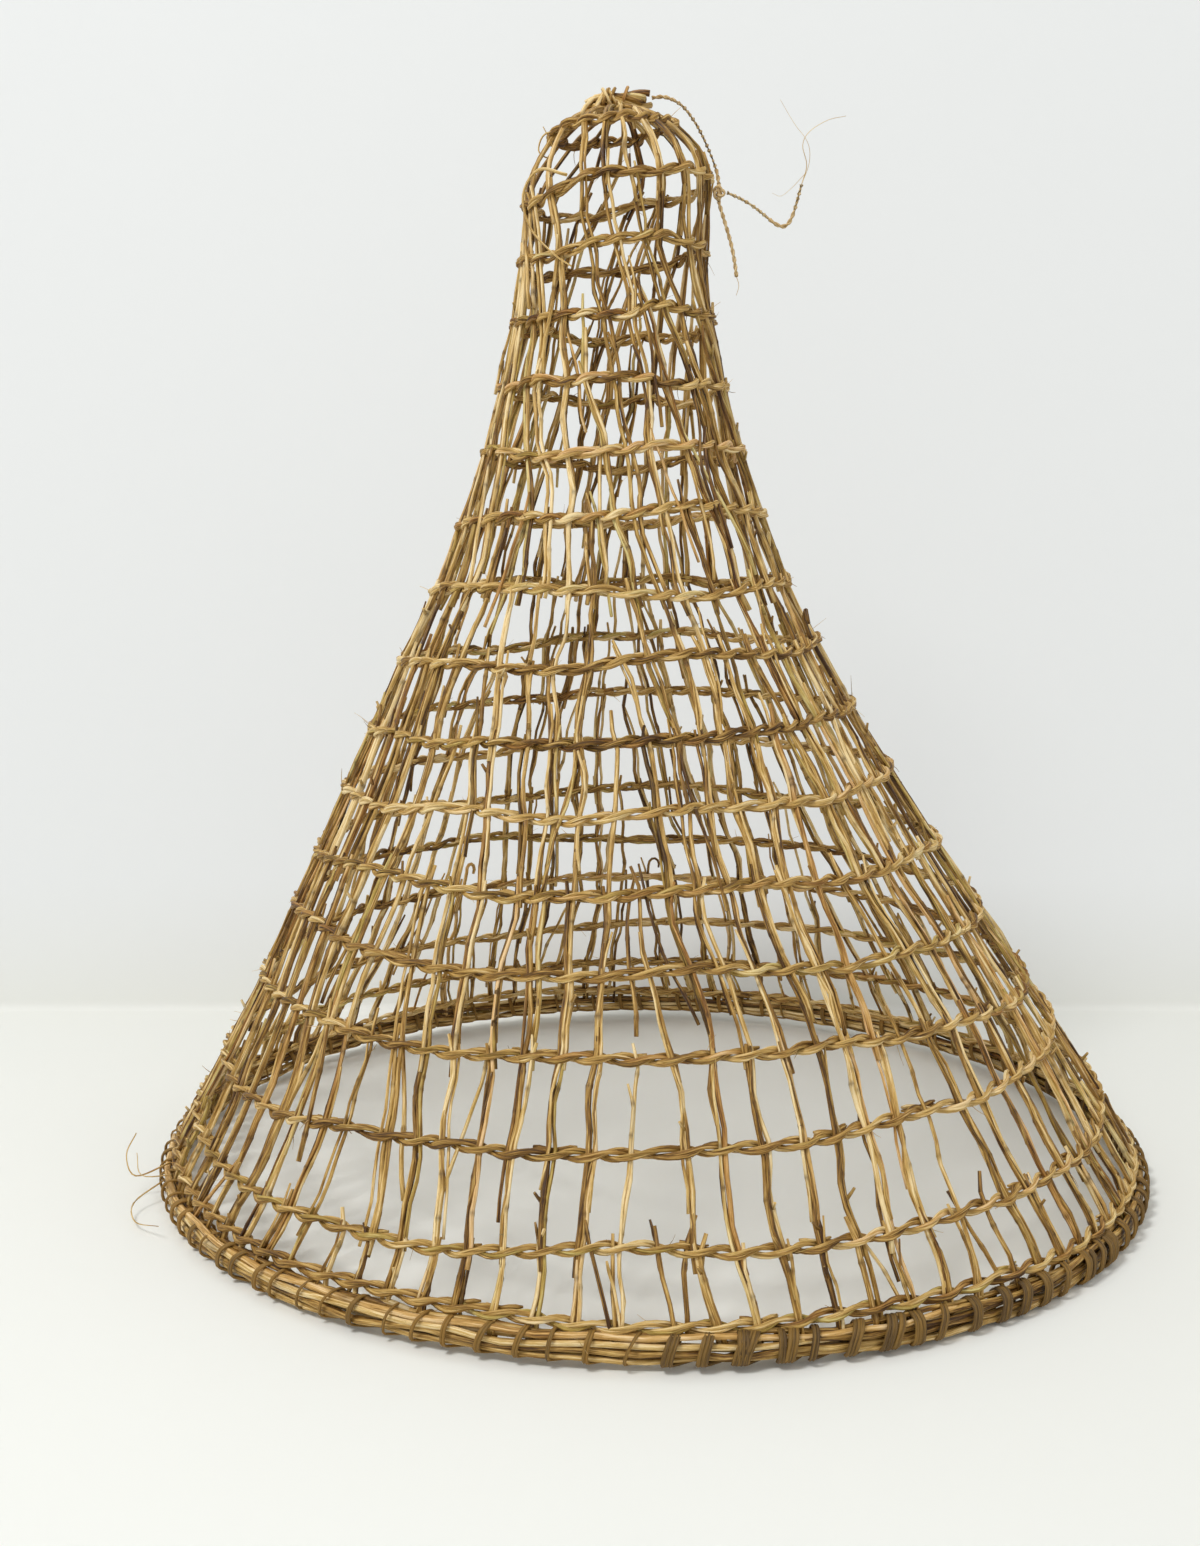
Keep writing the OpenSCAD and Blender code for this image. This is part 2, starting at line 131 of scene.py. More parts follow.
class BasketColours(bpy.types.PropertyGroup):
    pale: colour("Pale stem", "Sunlit peeled stem", 244, 220, 168)
    straw: colour("Straw", "The commonest colour of the stems", 208, 171, 98)
    tan: colour("Tan", "Older stem", 150, 110, 46)
    brown: colour("Brown", "Bark left on and joints", 66, 39, 8)
    olive: colour("Olive cast", "What tints a stem that dried green", 214, 222, 178)
    rosy: colour("Rosy cast", "What tints a stem with a reddish skin", 240, 205, 188)
    bark: colour("Lashing bark", "Bast strip around the rim", 136, 104, 48)
    dark_bark: colour("Dark bark", "The darkest of the lashing", 78, 58, 32)
    string: colour("String", "Twisted fibre string", 196, 166, 118)
    floor: colour("Floor", "Table top", 235, 236, 231)
    wall: colour("Wall", "Backdrop", 234, 236, 235)


def sizes():
    return bpy.context.scene.basket_sizes


def colours():
    return bpy.context.scene.basket_colours


# ---- Finishes -----------------------------------------------------------------------------------


class Value:
    """A shader's number: sums written with it add the Math nodes that they stand for."""

    def __init__(self, finish, socket):
        self.finish, self.socket = finish, socket

    def math(self, operation, first, second, clamp=False):
        settings = {"operation": operation, "use_clamp": clamp}
        made = self.finish.node("ShaderNodeMath", settings, {0: first, 1: second})
        return Value(self.finish, made.outputs[0])

    def __add__(self, other):
        return self.math("ADD", self, other)

    def __mul__(self, other):
        return self.math("MULTIPLY", self, other)

    def __sub__(self, other):
        return self.math("SUBTRACT", self, other)

    def __rsub__(self, other):
        return self.math("SUBTRACT", other, self)

    __radd__, __rmul__ = __add__, __mul__

    def clamped(self):
        return self.math("ADD", self, 0, clamp=True)


class Finish:
    """One material, made node by node."""

    def __init__(self, name):
        self.material = bpy.data.materials.new(name)
        self.material.use_nodes = True
        self.tree = self.material.node_tree
        self.surface = self.tree.nodes["Principled BSDF"]

    def feed(self, socket, value):
        if isinstance(value, Value):
            value = value.socket
        if isinstance(value, bpy.types.NodeSocket):
            self.tree.links.new(value, socket)
        else:
            socket.default_value = value

    def node(self, kind, settings, inputs):
        made = self.tree.nodes.new(kind)
        for key, value in settings.items():
            if key == "stops":
                ramp = made.color_ramp
                while len(ramp.elements) < len(value):
                    ramp.elements.new(0.5)
                for element, (position, shade) in zip(ramp.elements, value):
                    element.position = position
                    element.color = (*shade, 1)
            else:
                setattr(made, key, value)
        for key, value in inputs.items():
            self.feed(made.inputs[key], value)
        return made

    def attribute(self, name, output="Fac"):
        return self.node("ShaderNodeAttribute", {"attribute_name": name}, {}).outputs[output]

    def noise(self, place, stretch, detail, roughness=0.55):
        scaled = self.node("ShaderNodeMapping", {}, {"Vector": place, "Scale": stretch})
        made = self.node("ShaderNodeTexNoise", {}, {
            "Vector": scaled.outputs[0], "Scale": 1.0, "Detail": detail, "Roughness": roughness})
        return Value(self, made.outputs["Fac"])

    def ramp(self, factor, stops):
        return self.node("ShaderNodeValToRGB", {"stops": stops}, {"Fac": factor}).outputs["Color"]

    def mix(self, factor, first, second, blend="MIX"):
        settings = {"data_type": "RGBA", "blend_type": blend}
        return self.node("ShaderNodeMix", settings, {0: factor, 6: first, 7: second}).outputs[2]

    def cast(self, factor, base, tint):
        """Multiplies a colour by a tint, as far as factor says."""
        return self.mix(factor, base, self.mix(1.0, base, (*tint, 1), "MULTIPLY"))

    def coat(self, base, roughness, height, relief):
        """Gives the surface its colour, its roughness and a grain that stands out by relief."""
        self.feed(self.surface.inputs["Base Color"], base)
        self.feed(self.surface.inputs["Roughness"], roughness.clamped())
        bump = self.node("ShaderNodeBump", {}, {"Height": height, "Distance": relief})
        self.feed(self.surface.inputs["Normal"], bump.outputs["Normal"])


# How far the broad streaks, the fine ones and the blotches move a spot along the shades
BROAD_STREAKS, FINE_STREAKS, BLOTCHES = 1.1, 2.0, 0.6
# Stems of the lowest tint are olive and those above ROSY_FROM rosy; how steeply each cast fades
OLIVE_FADE, ROSY_FROM, ROSY_FADE = 5.5, 0.86, 7
# Where the fine noise turns into dark specks, and how steeply
SPECKS_FROM, SPECKS_FADE = 0.64, 9
STEM_SHADES = "brown", "tan", "straw", "pale"
# Each slot's shades from dark to pale, streaks in a millimetre, how far apart the tones of its
# stems are, the relief of its grain, and the roughness of its smoothest fibres
FINISHES = {
    "rib_stem": (STEM_SHADES, 0.55, 0.75, 0.3 * MM, 0.28),
    "weft_strand": (STEM_SHADES, 0.8, 0.55, 0.4 * MM, 0.32),
    "rim_stem": (STEM_SHADES, 0.6, 0.7, 0.35 * MM, 0.32),
    "lashing_bark": (("dark_bark", "bark", "tan"), 1.0, 0.6, 0.25 * MM, 0.45),
    "twisted_string": (("tan", "string", "pale"), 1.4, 0.5, 0.25 * MM, 0.5),
}


def fibrous(name, shades, grain, spread, relief, gloss):
    """Stem, split wood or bast: streaks along the fibre, each stem in its own tone, darker joints."""
    shades = [tuple(getattr(colours(), shade)) for shade in shades]
    finish = Finish(name)
    fibre = finish.attribute("fibre", "Vector")
    tone, tint, joint = (Value(finish, finish.attribute(fact)) for fact in ("tone", "tint", "joint"))
    place = finish.node("ShaderNodeTexCoord", {}, {}).outputs["Object"]
    broad = finish.noise(fibre, (grain, grain, 0.035), 2.0)
    streaks = finish.noise(fibre, (3 * grain, 3 * grain, 0.09), 4.0, 0.65)
    blotches = finish.noise(place, (38, 38, 38), 4.0)
    specks = finish.noise(fibre, (1.5, 1.5, 0.9), 3.0, 0.7)
    shade = tone * spread + (broad - 0.5) * BROAD_STREAKS + (streaks - 0.5) * FINE_STREAKS
    shade = shade + (blotches - 0.5) * BLOTCHES + 0.5 * (1 - spread)
    stops = [(i / (len(shades) - 1), shade_of) for i, shade_of in enumerate(shades)]
    base = finish.ramp(shade.clamped(), stops)
    base = finish.cast((1 - tint * OLIVE_FADE).clamped() * 0.8, base, colours().olive)
    base = finish.cast(((tint - ROSY_FROM) * ROSY_FADE).clamped() * 0.55, base, colours().rosy)
    marks = ((specks - SPECKS_FROM) * SPECKS_FADE).clamped() * 0.6
    base = finish.mix((joint * 0.75 + marks).clamped(), base, (*shades[0], 1))
    finish.coat(base, streaks * 0.35 + gloss, streaks + broad * 0.5 - joint * 0.4 - marks * 0.4, relief)
    finish.surface.inputs["Specular IOR Level"].default_value = 0.35
    return finish.material


def finish_of(slot):
    """The finish for a slot of the record, made once."""
    name = f"{slot}_finish"
    return bpy.data.materials.get(name) or fibrous(name, *FINISHES[slot])


def cut_end():
    """The cut end of a stem, made once: pale wood with brown in it."""
    if "cut_end" in bpy.data.materials:
        return bpy.data.materials["cut_end"]
    finish = Finish("cut_end")
    place = finish.node("ShaderNodeTexCoord", {}, {}).outputs["Object"]
    grain = finish.noise(place, (1500, 1500, 1500), 3.0)
    tone = Value(finish, finish.attribute("tone"))
    stops = [(at, tuple(getattr(colours(), shade)))
             for at, shade in ((0.25, "brown"), (0.6, "straw"), (0.85, "pale"))]
    base = finish.ramp((grain * 0.7 + tone * 0.3).clamped(), stops)
    finish.coat(base, grain * 0.2 + 0.65, grain, 0.15 * MM)
    return finish.material


# ---- Rods: everything on the basket is a stem, strip or string swept along a path ------------------

STRAIGHT = {}


def pushed_on(bm, edges, step):
    """Extrudes a line of edges by a step, and gives the line at its new place."""
    grown = bmesh.ops.extrude_edge_only(bm, edges=edges)["geom"]
    verts = [e for e in grown if isinstance(e, bmesh.types.BMVert)]
    bmesh.ops.translate(bm, vec=step, verts=verts)
    moved = set(verts)
    return [e for e in grown if isinstance(e, bmesh.types.BMEdge) and moved.issuperset(e.verts)]


def straight_rod(rings, sides):
    """A straight rod of unit radius with a ring at each whole height, closed at both ends."""
    if (rings, sides) not in STRAIGHT:
        bm = bmesh.new()
        bmesh.ops.create_circle(bm, cap_ends=True, segments=sides, radius=1)
        edges = list(bm.edges)
        for _ in range(rings - 1):
            edges = pushed_on(bm, edges, UP)
        bmesh.ops.edgeloop_fill(bm, edges=edges)
        bmesh.ops.recalc_face_normals(bm, faces=bm.faces)
        for face in bm.faces:
            face.smooth = abs(face.normal.z) < 0.5
            face.material_index = 0 if face.smooth else 1
        mesh = bpy.data.meshes.new(f"straight_{rings}_{sides}")
        bm.to_mesh(mesh)
        bm.free()
        STRAIGHT[rings, sides] = mesh
    return STRAIGHT[rings, sides]


def unit(vectors):
    return vectors / np.linalg.norm(vectors, axis=-1, keepdims=True)


def wobble(*place):
    """A number from about -1 to 1 that changes smoothly from place to place."""
    return noise.noise(Vector(place))


# What each of the four points around a stretch adds, by powers of the way along the stretch: for a
# curve through the points, and for one that only leans towards them
THROUGH = np.array(((0, 2, 0, 0), (-1, 0, 1, 0), (2, -5, 4, -1), (-1, 3, -3, 1))) / 2
TOWARDS = np.array(((1, 4, 1, 0), (-3, 0, 3, 0), (3, -6, 3, 0), (-1, 3, -3, 1))) / 6


def curve(points, steps, weights=THROUGH):
    """A smooth path along points, with steps places in each stretch."""
    points = np.array(points, float)
    ends = np.concatenate((2 * points[:1] - points[1:2], points, 2 * points[-1:] - points[-2:-1]))
    powers = (np.arange(steps) / steps)[:, None] ** np.arange(4)
    stretches = [powers @ weights @ ends[i:i + 4] for i in range(len(points) - 1)]
    return np.concatenate((*stretches, points[-1:]))


def eased(points, steps):
    """A smooth path from the first point to the last that rounds off the corners between."""
    points = np.array(points, float)
    for _ in range(4):
        points[1:-1] = (points[:-2] + 2 * points[1:-1] + points[2:]) / 4
    return curve(points, steps, TOWARDS)


def lengths_along(path):
    return np.concatenate(([0.0], np.cumsum(np.linalg.norm(np.diff(path, axis=0), axis=1))))


# The basket's lie: how high and how far back it gives way, how far its back is pushed in and
# lifted, and how uneven its rim is elsewhere
GIVES_BELOW, GIVES_BEHIND = 150 * MM, 225 * MM
PUSHED_IN, LIFTED, UNEVEN = 5 * MM, 6 * MM, 0.9 * MM


def settled(places):
    """The basket's own lie: low down, its back is pushed in a little and lifted off the table."""
    low = np.clip(1 - places[:, 2] / GIVES_BELOW, 0, 1) ** 1.5
    back = np.clip(places[:, 1] / GIVES_BEHIND, 0, 1) ** 2
    turn = np.arctan2(places[:, 1], places[:, 0])
    moved = places.copy()
    moved[:, 1] -= PUSHED_IN * low * back
    moved[:, 2] += low * (LIFTED * back + UNEVEN * (1 + np.sin(3 * turn + 0.6)) * (1 - back))
    return moved


class Rods:
    """The rods of one piece, gathered until make() sweeps them into its mesh."""

    def __init__(self, seed):
        self.rods = []
        self.random = random.Random(seed)

    def lay(self, path, radius, facing, sides=6, oval=1.0, tone=None, tint=None, joint=0.0):
        """Adds a rod along a path. facing is the side of it that oval leaves as wide as radius."""
        path = np.array(path, float)
        count = len(path)
        ahead = unit(np.gradient(path, axis=0))
        facing = np.broadcast_to(np.array(facing, float), (count, 3))
        out = unit(facing - (facing * ahead).sum(1, keepdims=True) * ahead)
        self.rods.append({
            "path": path, "radius": np.broadcast_to(radius, count),
            "out": out, "side": np.cross(ahead, out), "sides": sides, "oval": oval,
            "along": lengths_along(path), "start": self.random.uniform(0, 900),
            "tone": self.random.random() if tone is None else tone,
            "tint": self.random.random() if tint is None else tint,
            "joint": np.broadcast_to(joint, count),
        })

    def make(self, name, slot, replaced, lie=True):
        """Sweeps the rods into one piece that stands for the frame's nodes in replaced."""
        bm = bmesh.new()
        for rod in self.rods:
            bm.from_mesh(straight_rod(len(rod["path"]), rod["sides"]))
        mesh = bpy.data.meshes.new(name)
        bm.to_mesh(mesh)
        bm.free()
        count = len(mesh.vertices)
        local = np.empty(count * 3)
        mesh.vertices.foreach_get("co", local)
        local = local.reshape(-1, 3)
        place, fibre, facts = np.empty((count, 3)), np.empty((count, 3)), np.empty((3, count))
        start = 0
        for rod in self.rods:
            end = start + len(rod["path"]) * rod["sides"]
            x, y = local[start:end, :1], local[start:end, 1:2]
            ring = local[start:end, 2].round().astype(int)
            radius = rod["radius"][ring][:, None]
            around = x * rod["out"][ring] + y * rod["oval"] * rod["side"][ring]
            place[start:end] = rod["path"][ring] + radius * around
            fibre[start:end, :2] = local[start:end, :2] * radius / MM
            fibre[start:end, 2] = rod["along"][ring] / MM + rod["start"]
            facts[0, start:end] = rod["tone"]
            facts[1, start:end] = rod["tint"]
            facts[2, start:end] = rod["joint"][ring]
            start = end
        mesh.vertices.foreach_set("co", (settled(place) if lie else place).ravel())
        mesh.attributes.new("fibre", "FLOAT_VECTOR", "POINT").data.foreach_set("vector", fibre.ravel())
        for fact, values in zip(("tone", "tint", "joint"), facts):
            mesh.attributes.new(fact, "FLOAT", "POINT").data.foreach_set("value", values)
        mesh.update()
        piece = bpy.data.objects.new(name, mesh)
        bpy.context.scene.collection.objects.link(piece)
        mesh.materials.append(finish_of(slot))
        mesh.materials.append(cut_end())
        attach(piece, "root")
        if replaced:
            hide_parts(*replaced)
        return piece


# ---- The wall and its ribs ------------------------------------------------------------------------


def middle_of(node):
    low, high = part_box(node)
    return (low + high) / 2


def row_node(row):
    return f"twined_row_{row:02d}"


def half_width(node):
    low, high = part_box(node)
    return (high.x - low.x + high.y - low.y) / 4


ROW_Z = {row: middle_of(row_node(row)).z for row in range(1, HEM_ROW + 1)}
RIM_Z = middle_of("rim_lashing").z
RIM_R = half_width("rim_lashing") - RIM_Z
CROWN_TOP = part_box("crown_ribs")[1].z - 1.3 * MM
CROWN_R = 10.5 * MM
# How far the crown leans to the right at the collar, halfway up and at the top
CROWN_LEAN = 1.8 * MM, 4.0 * MM, 1.5 * MM
# The lashing is pulled tight, so the rim's stems and the hem row lie lower than in the frame
RIM_DROP, HEM_DROP = 2.4 * MM, 9.2 * MM
COLLAR_Z, SHOULDER_Z = ROW_Z[COLLAR_ROW], ROW_Z[SHOULDER_ROW]
# The wall from the rim up to the collar: heights, and the wall's middle and radius there
LADDER = [RIM_Z] + [ROW_Z[row] for row in range(HEM_ROW, COLLAR_ROW - 1, -1)]
LADDER_R = [RIM_R] + [half_width(row_node(row)) - ROW_STANDS for row in range(HEM_ROW, COLLAR_ROW - 1, -1)]
LADDER_X = [0] + [middle_of(row_node(row)).x for row in range(HEM_ROW, COLLAR_ROW - 1, -1)]


def wall_radius(z):
    if z <= COLLAR_Z:
        return float(np.interp(z, LADDER, LADDER_R))
    rise = min(1, (z - COLLAR_Z) / (CROWN_TOP - COLLAR_Z))
    return CROWN_R + (LADDER_R[-1] - CROWN_R) * (1 - rise ** 2) ** 0.7


def wall_middle(z):
    """How far to the side the middle of the wall stands at a height. The crown leans a little."""
    heights = ROW_Z[COLLAR_ROW + 1], COLLAR_Z, (COLLAR_Z + CROWN_TOP) / 2, CROWN_TOP
    return float(np.interp(z, LADDER, LADDER_X) + np.interp(z, heights, (0, *CROWN_LEAN)))


def twisted(azimuth, z):
    """The angle around the axis, in radians, of a rib that has an azimuth below the neck."""
    rise = max(0, (z - SHOULDER_Z) / (ROW_Z[1] - SHOULDER_Z))
    return math.radians(azimuth + TWIST * rise ** TWIST_EASE)


def wall(azimuth, z):
    """A point in the middle of the wall and the way out of it there."""
    turn = twisted(azimuth, z)
    out = np.array((math.cos(turn), math.sin(turn), 0))
    return np.array((wall_middle(z), 0, z)) + wall_radius(z) * out, out


def ribs_in(level):
    return CROWN_RIBS + RIBS_ADDED * level


def level_of(row):
    return sum(start <= row for start in LEVEL_ROWS) - 1


def in_sector(level):
    return ribs_in(level) // RIBS_ADDED


def is_new(level, i):
    return level > 0 and i % in_sector(level) == NEW_PLACE[level]


def below(level, i):
    """The same rib's number one level down, past the rib that is added there."""
    sector, at = divmod(i, in_sector(level))
    return sector * in_sector(level + 1) + at + (at >= NEW_PLACE[level + 1])


def above(level, i):
    sector, at = divmod(i, in_sector(level))
    return sector * in_sector(level - 1) + at - (at >= NEW_PLACE[level])


def at_level(level, i, to):
    while level < to:
        level, i = level + 1, below(level, i)
    while level > to and not is_new(level, i):
        level, i = level - 1, above(level, i)
    return level, i


def level_top(level):
    if level > LAST_LEVEL:
        return 2 * level_top(LAST_LEVEL) - level_top(LAST_LEVEL - 1)
    return ROW_Z[LEVEL_ROWS[level]]


def azimuth(level, i, z):
    """Where rib i of a level stands at height z, in degrees, as in the frame."""
    while level < LAST_LEVEL and z < level_top(level + 1):
        level, i = level + 1, below(level, i)
    top, bottom = level_top(level), level_top(level + 1)
    drift = min(1, max(0, (top - z) / (top - bottom)))
    here, there = 360 * (i + 0.5) / ribs_in(level), 360 * (below(level, i) + 0.5) / ribs_in(level + 1)
    return here + (there - here) * drift


def rib_middle(level, i, z):
    """A rib's middle at height z, the way out of the wall and the way along the row. It sways with
    its neighbours and by itself."""
    point, out = wall(azimuth(level, i, z), z)
    along = np.cross(UP, out)
    mark = at_level(level, i, LAST_LEVEL)[1]
    own = wobble(mark * 5.7, z / MM / 42, 3.1) + 0.6 * wobble(mark * 3.3, z / MM / 17, 9.7)
    shared = wobble(*(out[:2] * 1.4), z / MM / 75)
    ease = min(1, (z - RIM_Z) / (20 * MM)) if z > RIM_Z else 0
    return point + along * (own * 1.6 + shared * 2.6) * sizes().sway * ease, out, along


def row_height(row, turn):
    """The height of a row at an angle around the axis, in radians: it tilts and waves."""
    wave = wobble(math.cos(turn) * 1.8, math.sin(turn) * 1.8, row * 4.9)
    wave += 0.4 * wobble(math.cos(turn) * 5, math.sin(turn) * 5, row * 2.3)
    reach = sizes().wave * (2.2 if row < HEM_ROW else 1.6)
    drop = HEM_DROP if row == HEM_ROW else 0
    return ROW_Z[row] - drop + ROW_TILT[row - 1] * MM * math.cos(turn) + wave * reach


def row_crossing(row, i):
    """Where a row crosses rib i: the rib's middle there and the two directions."""
    level = level_of(row)
    i %= ribs_in(level)
    return rib_middle(level, i, rib_row_z(row, level, i))


def rib_row_z(row, level, i):
    """The height at which a row crosses rib i of a level."""
    return row_height(row, twisted(azimuth(level, i, ROW_Z[row]), ROW_Z[row]))


# ---- Rib stems ------------------------------------------------------------------------------------

STEM_STEP = 7.5 * MM
JOINT_HALF, JOINT_CLEAR = 1.4 * MM, 2.2 * MM


def stem_heights(top, bottom, joints):
    """The heights at which a stem's path has a place: in even steps, and close around each joint."""
    heights = list(np.linspace(top, bottom, max(3, round((top - bottom) / STEM_STEP)) + 1))
    for joint in joints:
        heights = [z for z in heights if abs(z - joint) > JOINT_CLEAR or z in (top, bottom)]
        heights += [joint + JOINT_HALF, joint, joint - JOINT_HALF]
    return sorted((z for z in heights if bottom <= z <= top), reverse=True)


def lay_stem(rods, level, i, top, bottom, shift, lift, radius, flare=0.0, hook=0.0, thin=0.82,
             foot=None):
    """One stem down rib i from height top to bottom, shift to the rib's side and lift out of the
    wall. At its bottom it has moved to foot. Its top leans out by flare, or bends over in a hook of
    that radius. It has joints, and at some of them the stub of a side shoot."""
    foot = shift if foot is None else foot
    rnd = rods.random
    run = top - bottom
    count = 1 + (rnd.random() < run / (90 * MM))
    joints = [bottom + run * rnd.uniform(0.08, 0.92) for _ in range(count)]
    heights = stem_heights(top, bottom, joints)
    wander = rnd.uniform(0, 99)
    path, outs = [], []
    for z in heights:
        middle, out, along = rib_middle(level, i, z)
        stray = wobble(wander, z / MM / 15, 0) * 1.3 * MM
        near_top = max(0, 1 - (top - z) / (11 * MM)) ** 2
        near_end = max(0, 1 - (z - bottom) / (9 * MM)) ** 2
        beside = shift + (foot - shift) * (top - z) / run + stray + flare * near_top
        raised = lift + 0.5 * stray + abs(flare) * 0.8 * near_top - 0.5 * MM * near_end
        path.append(middle + along * beside + out * raised)
        outs.append(out)
    knots = np.array([max(math.exp(-((z - joint) / (1.3 * MM)) ** 2) for joint in joints)
                      for z in heights])
    if hook:
        out, along = outs[0], np.cross(UP, outs[0])
        bend = [path[0] + abs(hook) * UP * math.sin(a) * 1.3 + hook * along * (1 - math.cos(a))
                + out * MM * a for a in np.linspace(0, 1.15 * math.pi, 7)[1:]]
        path, outs = bend[::-1] + path, [out] * len(bend) + outs
        knots = np.concatenate((np.zeros(len(bend)), knots))
    width = radius * np.linspace(thin, 1, len(path)) * (1 + 0.3 * knots)
    width[0] *= 0.8
    tone, tint = rnd.random(), rnd.random()
    rods.lay(path, width, outs, 6, rnd.uniform(0.85, 1.0), tone, tint, knots * rnd.uniform(0.4, 1))
    for joint in joints:
        if rnd.random() < 0.35 and radius > 1.1 * MM:
            beside = shift + (foot - shift) * (top - joint) / run
            lay_stub(rods, level, i, joint, beside, lift, radius, tone, tint)


def lay_stub(rods, level, i, z, shift, lift, radius, tone, tint):
    """The stub of a side shoot, cut off near its joint."""
    rnd = rods.random
    middle, out, along = rib_middle(level, i, z)
    root = middle + along * shift + out * lift
    way = unit(UP * rnd.uniform(0.6, 1.4) + along * rnd.uniform(-1, 1) + out * rnd.uniform(0.1, 0.8))
    reach = radius + rnd.uniform(1.2, 4.5) * MM
    path = [root + way * reach * t + UP * 0.8 * MM * t * t for t in (0.1, 0.6, 1)]
    rods.lay(path, radius * np.array((0.75, 0.55, 0.48)), along + 0.1 * out, 5, 1.0, tone, tint, 0.35)


def lay_rib_stem(rods, level, i, top, bottom, shift, radius, **shape):
    """A main stem and, beside many of them, a thinner one over part of its length."""
    rnd = rods.random
    foot = -shift if rnd.random() < 0.25 else shift * rnd.uniform(0.4, 1.5)
    lift = rnd.uniform(-0.5, 0.5) * MM
    lay_stem(rods, level, i, top, bottom, shift, lift, radius, foot=foot, **shape)
    if rnd.random() < 0.7:
        thin = sizes().shoot / 2 * rnd.uniform(0.8, 1.15)
        run = top - bottom
        start = top - run * rnd.uniform(-0.06, 0.25)
        end = max(bottom + run * rnd.uniform(-0.04, 0.2), RIM_Z)
        beside = shift + math.copysign(rnd.uniform(0.6, 1.5) * MM, rnd.random() - 0.5)
        lift = rnd.choice((-1, 1)) * rnd.uniform(0.7, 1.3) * MM
        lay_stem(rods, level, i, start, end, beside, lift, thin,
                 flare=rnd.uniform(-1.5, 1.5) * MM, foot=rnd.uniform(-2.5, 2.5) * MM)


class BASKET_OT_neck_ribs(bpy.types.Operator):
    """Lays the stems of the crown and the neck"""

    bl_idname = "basket.neck_ribs"
    bl_label = "Crown and neck ribs"

    def execute(self, context):
        radius = sizes().stem / 2
        rods = Rods(11)
        rnd = rods.random
        for i in range(ribs_in(0)):
            self.crown_stem(rods, i, -1.0 * MM, radius * rnd.uniform(0.85, 1.05))
            if rnd.random() < 0.7:
                self.crown_stem(rods, i, 1.1 * MM, radius * rnd.uniform(0.6, 0.8))
        rods.make("crown_stems", "rib_stem", ["crown_ribs"])
        for added, seed, name, node in ((False, 12, "neck_stems", "neck_ribs"),
                                        (True, 13, "neck_stems_added", "neck_ribs_added")):
            rods = Rods(seed)
            rnd = rods.random
            for i in range(ribs_in(NECK_LEVEL)):
                level, first = at_level(NECK_LEVEL, i, 0)
                if (level > 0) != added:
                    continue
                top = rib_row_z(max(COLLAR_ROW, LEVEL_ROWS[level]), level, first) + rnd.uniform(5, 12) * MM
                foot = rib_row_z(SHOULDER_ROW, level, first) - rnd.uniform(3, 10) * MM
                self.neck_stem(rods, level, first, top, foot, radius)
            rods.make(name, "rib_stem", [node])
        return {"FINISHED"}

    def neck_stem(self, rods, level, i, top, foot, radius):
        """A stem down a rib of the neck, and beside it two more, one after the other."""
        rnd = rods.random
        side = rnd.choice((-1, 1))
        lay_rib_stem(rods, level, i, top, foot, side * 1.1 * MM, radius * rnd.uniform(0.85, 1.15),
                     flare=rnd.uniform(-2, 2) * MM, thin=0.75)
        halfway = foot + (top - foot) * rnd.uniform(0.35, 0.6)
        lay_stem(rods, level, i, top - rnd.uniform(2, 20) * MM, halfway, -side * 1.2 * MM,
                 rnd.uniform(-0.5, 0.5) * MM, radius * rnd.uniform(0.75, 1.0),
                 flare=rnd.uniform(-2, 2) * MM)
        lay_stem(rods, level, i, halfway + rnd.uniform(4, 14) * MM, foot, -side * 1.3 * MM,
                 rnd.uniform(-0.6, 0.6) * MM, radius * rnd.uniform(0.75, 1.0),
                 flare=rnd.uniform(-2, 2) * MM)

    def crown_stem(self, rods, i, shift, radius):
        """A stem from just under the collar over the crown, its tip bent in under the bundle."""
        rnd = rods.random
        foot = rib_row_z(COLLAR_ROW, 0, i) - rnd.uniform(4, 16) * MM
        path, outs = [], []
        tip = rnd.uniform(0.5, 4.5) * MM
        for t in np.linspace(0, 1, 13):
            z = foot + (CROWN_TOP - foot) * math.sin(t * math.pi / 2)
            middle, out, along = rib_middle(0, i, z)
            path.append(middle + along * shift * (1 - 0.5 * t))
            outs.append(out)
        axis = np.array((wall_middle(CROWN_TOP), 0, CROWN_TOP))
        out = outs[-1]
        for t in (0.5, 1):
            path.append(axis + out * (CROWN_R + (tip - CROWN_R) * t) + UP * 0.6 * MM * t)
            outs.append(UP + 0.2 * out)
        joint = np.exp(-((np.arange(len(path)) - rnd.uniform(3, 9)) / 0.5) ** 2)
        rods.lay(path, radius * (1 + 0.25 * joint), outs, 6, 0.9, joint=joint * 0.7)


